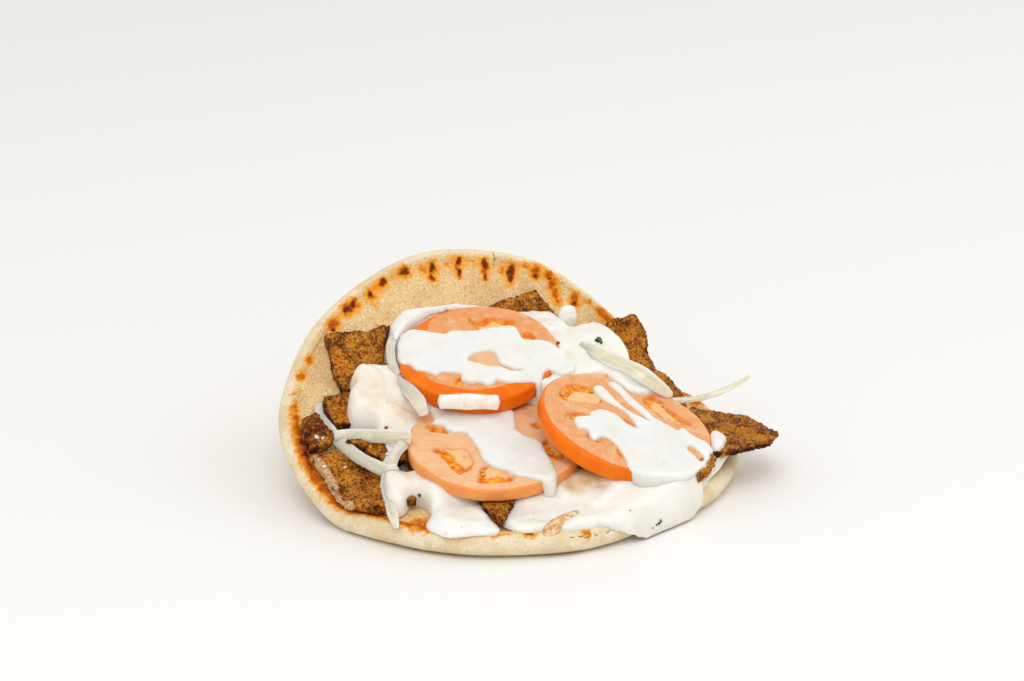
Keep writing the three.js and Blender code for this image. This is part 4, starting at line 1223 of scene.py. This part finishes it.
COAT_2 = [
    (-25.5, 33), (-24.6, 28.2), (-22.7, 18.4), (-24.2, 14.9), (-19.9, 14), (-17.1, 9), (-11.6, 8),
    (-9.5, 3.1), (-7.5, -2.9), (-6.2, -11), (-3.6, -15.8), (-0.8, -19.4), (2.1, -20.8), (5.4, -24.4),
    (8.9, -25.8), (12.9, -27.8), (16.1, -29.4), (19.2, -30), (21.5, -23.5), (19.3, -12), (17.4, -2),
    (14.9, 0.5), (9.6, 6), (9, 12.2), (9.1, 20.6), (7.8, 24), (4.1, 33), (-10, 36),
]
COAT_3 = [
    (-17.2, 14.7), (-14, 15.1), (-9.6, 11.9), (-6.4, 12.9), (-1.4, 11.5), (0.6, 8.5), (1.6, 3.9),
    (0.4, -0.9), (1, -4.5), (4, -0.9), (6.8, 4.1), (6.8, 8.7), (6.6, 13.5), (8.2, 18.1), (10.4, 20.9),
    (14, 19.1), (12.8, 14.1), (10.4, 8.9), (8.6, 3.1), (8.8, -1.5), (10.2, -5.7), (12, 0.5), (13.8, 7.1),
    (16.4, 13.1), (18.6, 18.3), (21.6, 17.1), (21.2, 13.1), (19, 7.1), (17.2, 1.5), (15.8, -3),
    (13.9, -6.8), (14.3, -10.3), (14.5, -13.9), (14.6, -16.4), (16.7, -16.1), (18.6, -17), (18, -19.5),
    (17.3, -22.5), (17.1, -25.2), (17.8, -28.4), (17, -31.4), (14, -33.4), (8.1, -34.8), (2.8, -35.4),
    (-1.8, -35.4), (-8.2, -34.8), (-13, -33), (-18, -29.4), (-24.6, -23.4), (-27.6, -17.9),
    (-26.4, -15.3), (-22.6, -11.9), (-18.4, -7.3), (-16.4, -0.9), (-18, 1.5), (-21.6, 2.1), (-21, 4.9),
    (-18.4, 7.9), (-21, 10.1), (-19, 13.1),
]
SLIT_3 = [(7.4, -24.6), (9.6, -25.8), (8.8, -28.5), (7.4, -31.9), (3.8, -32.1), (5.1, -29.6), (6.1, -27)]
coatings = [
    spoon_on("tzatziki_on_tomato_1", COAT_1, (1, 3), thickness=1.5, lip=1.7, seed=31, holes=[HOLE_1]),
    spoon_on("tzatziki_on_tomato_2", COAT_2, (2,), thickness=1.5, lip=1.7, seed=41),
    spoon_on("tzatziki_on_tomato_3", COAT_3, (3,), thickness=1.2, lip=1.4, seed=51, holes=[SLIT_3]),
]
for number, coating in enumerate(coatings, start=1):
    ready(coating, sauce, "tzatziki", f"sauce_on_tomato_{number}")

# Two more spoonfuls: one upright against the flap, one along the back edge of the third slice.
bpy.ops.object.select_all(action="DESELECT")
bpy.ops.mesh.primitive_uv_sphere_add(segments=64, ring_count=40, radius=0.001)
drop = bpy.context.active_object
drop.name = "tzatziki_drop_1"
ball = own_points(drop)
ball *= (1 + 0.16 * lumps(ball, 0.9, 81) + 0.1 * lumps(ball, 0.45, 82))[:, None]
DROP_1_MIDDLE = np.array([54.6, 19.5, 42.3])
DROP_1_SIZE = np.array([4.6, 3.2, 5.8])
put_points(drop, ball * DROP_1_SIZE * (1 - 0.12 * ball[:, 2:]) + DROP_1_MIDDLE)
mark(drop, "thin_film_and_shade", np.zeros(len(ball)))
ready(drop, sauce, "tzatziki", "sauce_drop_1")
DROP_2 = [
    (24.3, 21.7), (22.7, 16.6), (22.3, 9.7), (25, 5.5), (28.2, 3.3), (31.7, 3.7), (33.6, 8.1),
    (33.6, 12.7), (31.5, 18.1),
]
tongue = spoon_on("tzatziki_drop_2", DROP_2, (3,), thickness=2.0, lip=2.2, seed=61)
ready(tongue, sauce, "tzatziki", "sauce_drop_2")

# A drip that has run off the third slice onto the meat beside it.
DRIP = [
    (44.6, -69), (47.6, -70.4), (46.4, -74), (45.6, -77), (42.6, -79), (39.4, -80.8), (36, -81.6),
    (34.4, -80.4), (36.8, -76.6), (40.8, -72),
]
drip = lay_on_heap("tzatziki_drip", DRIP, thickness=2.6, softness=1, fineness=0.5, seed=66)
ready(drip, sauce, "tzatziki")

# ---- Herbs, crumbs and flecks ----
# Chopped dill out of the sauce, crumbs of roasted meat, flecks of sauce on the meat, and a shred of
# crust torn off the front rim that lies half in the sauce.

landing_graph = bpy.context.evaluated_depsgraph_get()
lying = [BVHTree.FromObject(piece, landing_graph) for piece in [bread, bed, *meats, *coatings]]
FROM_THE_FRONT = Vector((0.65, 0.67, -0.36)).normalized()
THROW = 0.05  # how far before its place a bit starts, in metres


def scattered(name, bits, shape, finish, slot, seed):
    """Small bits stuck where they landed, as one mesh: rough place, size and turn of each."""
    chance = random.Random(seed)
    pieces = []
    for x, y, z, size, turn in bits:
        thrown = Vector(np.array((x, y, z)) / 1000 + BREAD_MIDDLE) - THROW * FROM_THE_FRONT
        landings = [tree.ray_cast(thrown, FROM_THE_FRONT) for tree in lying]
        place, outward, _, _ = min((one for one in landings if one[0] is not None), key=lambda one: one[3])
        bpy.ops.mesh.primitive_ico_sphere_add(subdivisions=3, radius=0.001)
        piece = bpy.context.active_object
        own = own_points(piece)
        own *= (1 + 0.4 * lumps(own, 0.8, chance.randrange(99)))[:, None] * np.array(shape) * size
        flat_on = outward.to_track_quat("Z", "Y").to_matrix() @ Matrix.Rotation(math.radians(turn), 3, "Z")
        put_points(piece, own @ np.array(flat_on).T + (np.array(place) - BREAD_MIDDLE) * 1000)
        piece.location = (0, 0, 0)
        pieces.append(piece)
    ready(joined(name, pieces), finish, slot)


dill = new_finish("chopped_dill", Roughness=0.5, Specular_IOR_Level=0.2)
dill_clouds = grain(dill, object_places(dill), 1.5, 2)
wear(dill, "Base Color", tinted(dill, colour(34, 62, 34), colour(92, 112, 76), dill_clouds, 0.4, 0.6))
DILL = [
    (40.6, -12.1, 44, 1.9, 20), (39.6, -14.6, 44, 1.1, 60), (-10.7, -93.8, 6, 0.8, 0),
    (-12.6, -94.3, 6, 0.6, 50), (-8.7, -92.8, 6, 0.7, 110), (-15.7, -95.4, 6, 0.5, 30),
    (-24.5, -91.9, 15, 0.4, 80), (-78.7, -34.5, 20, 0.7, 10), (-80, -36, 20, 0.5, 60),
]
scattered("dill", DILL, (1, 0.6, 0.5), dill, "tzatziki", seed=5)

crumbs = [
    (-59.1, 15, 26, 0.8, 0), (-58.7, 13.3, 26, 0.9, 40), (-59.1, 17, 26, 0.6, 90),
    (-40.6, 24.4, 20, 0.8, 0), (-61, 19, 26, 0.6, 10), (30.2, 0.5, 42, 0.9, 0), (27.4, -77.4, 9, 2.2, 20),
    (29.6, -76.8, 9, 2.5, 60), (32, -76.4, 9, 2.6, 10), (35.2, -75.4, 9.5, 2.6, 40),
    (38.4, -74.2, 10, 2.4, 0), (41, -72.4, 10.5, 2.4, 30),
]
# Fine crumbs that have fallen on the bread at the left.
FALLEN_CRUMBS = 14
fallen = random.Random(6)
for _ in range(FALLEN_CRUMBS):
    around, distance = math.radians(fallen.uniform(150, 218)), fallen.uniform(76, 88)
    x, y = distance * math.cos(around), distance * math.sin(around)
    crumbs.append((x, y, bread_top(x, y), fallen.uniform(0.2, 0.45), fallen.uniform(0, 180)))
scattered("meat_crumbs", crumbs, (1, 0.8, 0.6), seared, "meat", seed=7)
FLECKS = [
    (-80.7, 15.8, 18, 0.9, 0), (-76.1, 9.5, 18, 0.9, 30), (-77.7, 26.2, 18, 0.6, 70),
    (-62.5, 39.9, 18, 1.2, 120), (-61.6, 37.6, 18, 0.8, 60), (-83, 12, 14, 0.5, 0),
]
scattered("sauce_flecks", FLECKS, (1, 0.7, 0.4), sauce, "tzatziki", seed=8)

torn = new_finish("torn_crust", Roughness=0.8, Specular_IOR_Level=0.2)
torn_clouds = grain(torn, object_places(torn), 2.2, 4, 0.7)
torn_crumb = shades(
    torn, torn_clouds,
    [(0.36, colour(186, 138, 78)), (0.5, colour(220, 184, 130)), (0.62, colour(240, 216, 172))],
)
wear(torn, "Base Color", torn_crumb)
relief(torn, torn_clouds, 0.5, 0.8)
SHRED = [
    (-51.8, -76.4), (-52.6, -74), (-50.6, -72), (-47, -70.9), (-41, -71.1), (-33.6, -73.2),
    (-34.4, -74.9), (-38, -75.8), (-43, -76), (-47.5, -76.8),
]
shred = lay_on_heap("torn_shred", SHRED, thickness=0.8, softness=1.5, fineness=0.4, seed=90)
ready(shred, torn, "pita")

# ---- Stand, light and camera ----
# A plain pale floor, large soft lights and a camera at the height of a seated person.

FLOOR_GAP = 0.0005  # metres, so that the floor and the bread's underside don't flicker
bpy.ops.mesh.primitive_plane_add(size=6, location=(0, 0, -FLOOR_GAP))
floor = bpy.context.active_object
floor.name = "floor"
floor_tone = colour(242, 241, 238)
floor.data.materials.append(
    new_finish("pale_floor", Base_Color=floor_tone, Roughness=0.9, Specular_IOR_Level=0.1)
)

world = bpy.data.worlds.new("room")
bpy.context.scene.world = world
world.use_nodes = True
daylight = world.node_tree.nodes["Background"].inputs
daylight["Color"].default_value = (1, 0.995, 0.98, 1)
daylight["Strength"].default_value = 0.8


def softbox(name, place, size, power):
    lamp = bpy.data.lights.new(name, "AREA")
    lamp.shape = "SQUARE"
    lamp.size = size
    lamp.energy = power
    holder = bpy.data.objects.new(name, lamp)
    bpy.context.scene.collection.objects.link(holder)
    holder.location = place
    holder.rotation_euler = (-Vector(place)).to_track_quat("-Z", "Y").to_euler()


softbox("window_light", (-0.7, -0.5, 1.3), size=1.0, power=7.5)
softbox("fill_light", (1.0, -0.6, 0.9), size=0.9, power=3)

CAMERA_PLACE = (-680.1, -709.1, 425.5)
CAMERA_AHEAD = (0.6489, 0.6726, -0.3557)
CAMERA_ROLL = math.radians(-0.6)
lens = bpy.data.cameras.new("camera")
lens.lens = 93.69
lens.sensor_width = 36
lens.clip_start = 0.05  # metres
camera = bpy.data.objects.new("camera", lens)
bpy.context.scene.collection.objects.link(camera)
camera.location = np.array(CAMERA_PLACE) / 1000 + BREAD_MIDDLE
aim = Vector(CAMERA_AHEAD).to_track_quat("-Z", "Y").to_matrix()
camera.rotation_euler = (aim @ Matrix.Rotation(CAMERA_ROLL, 3, "Z")).to_euler()
bpy.context.scene.camera = camera
bpy.context.scene.view_settings.view_transform = "Standard"
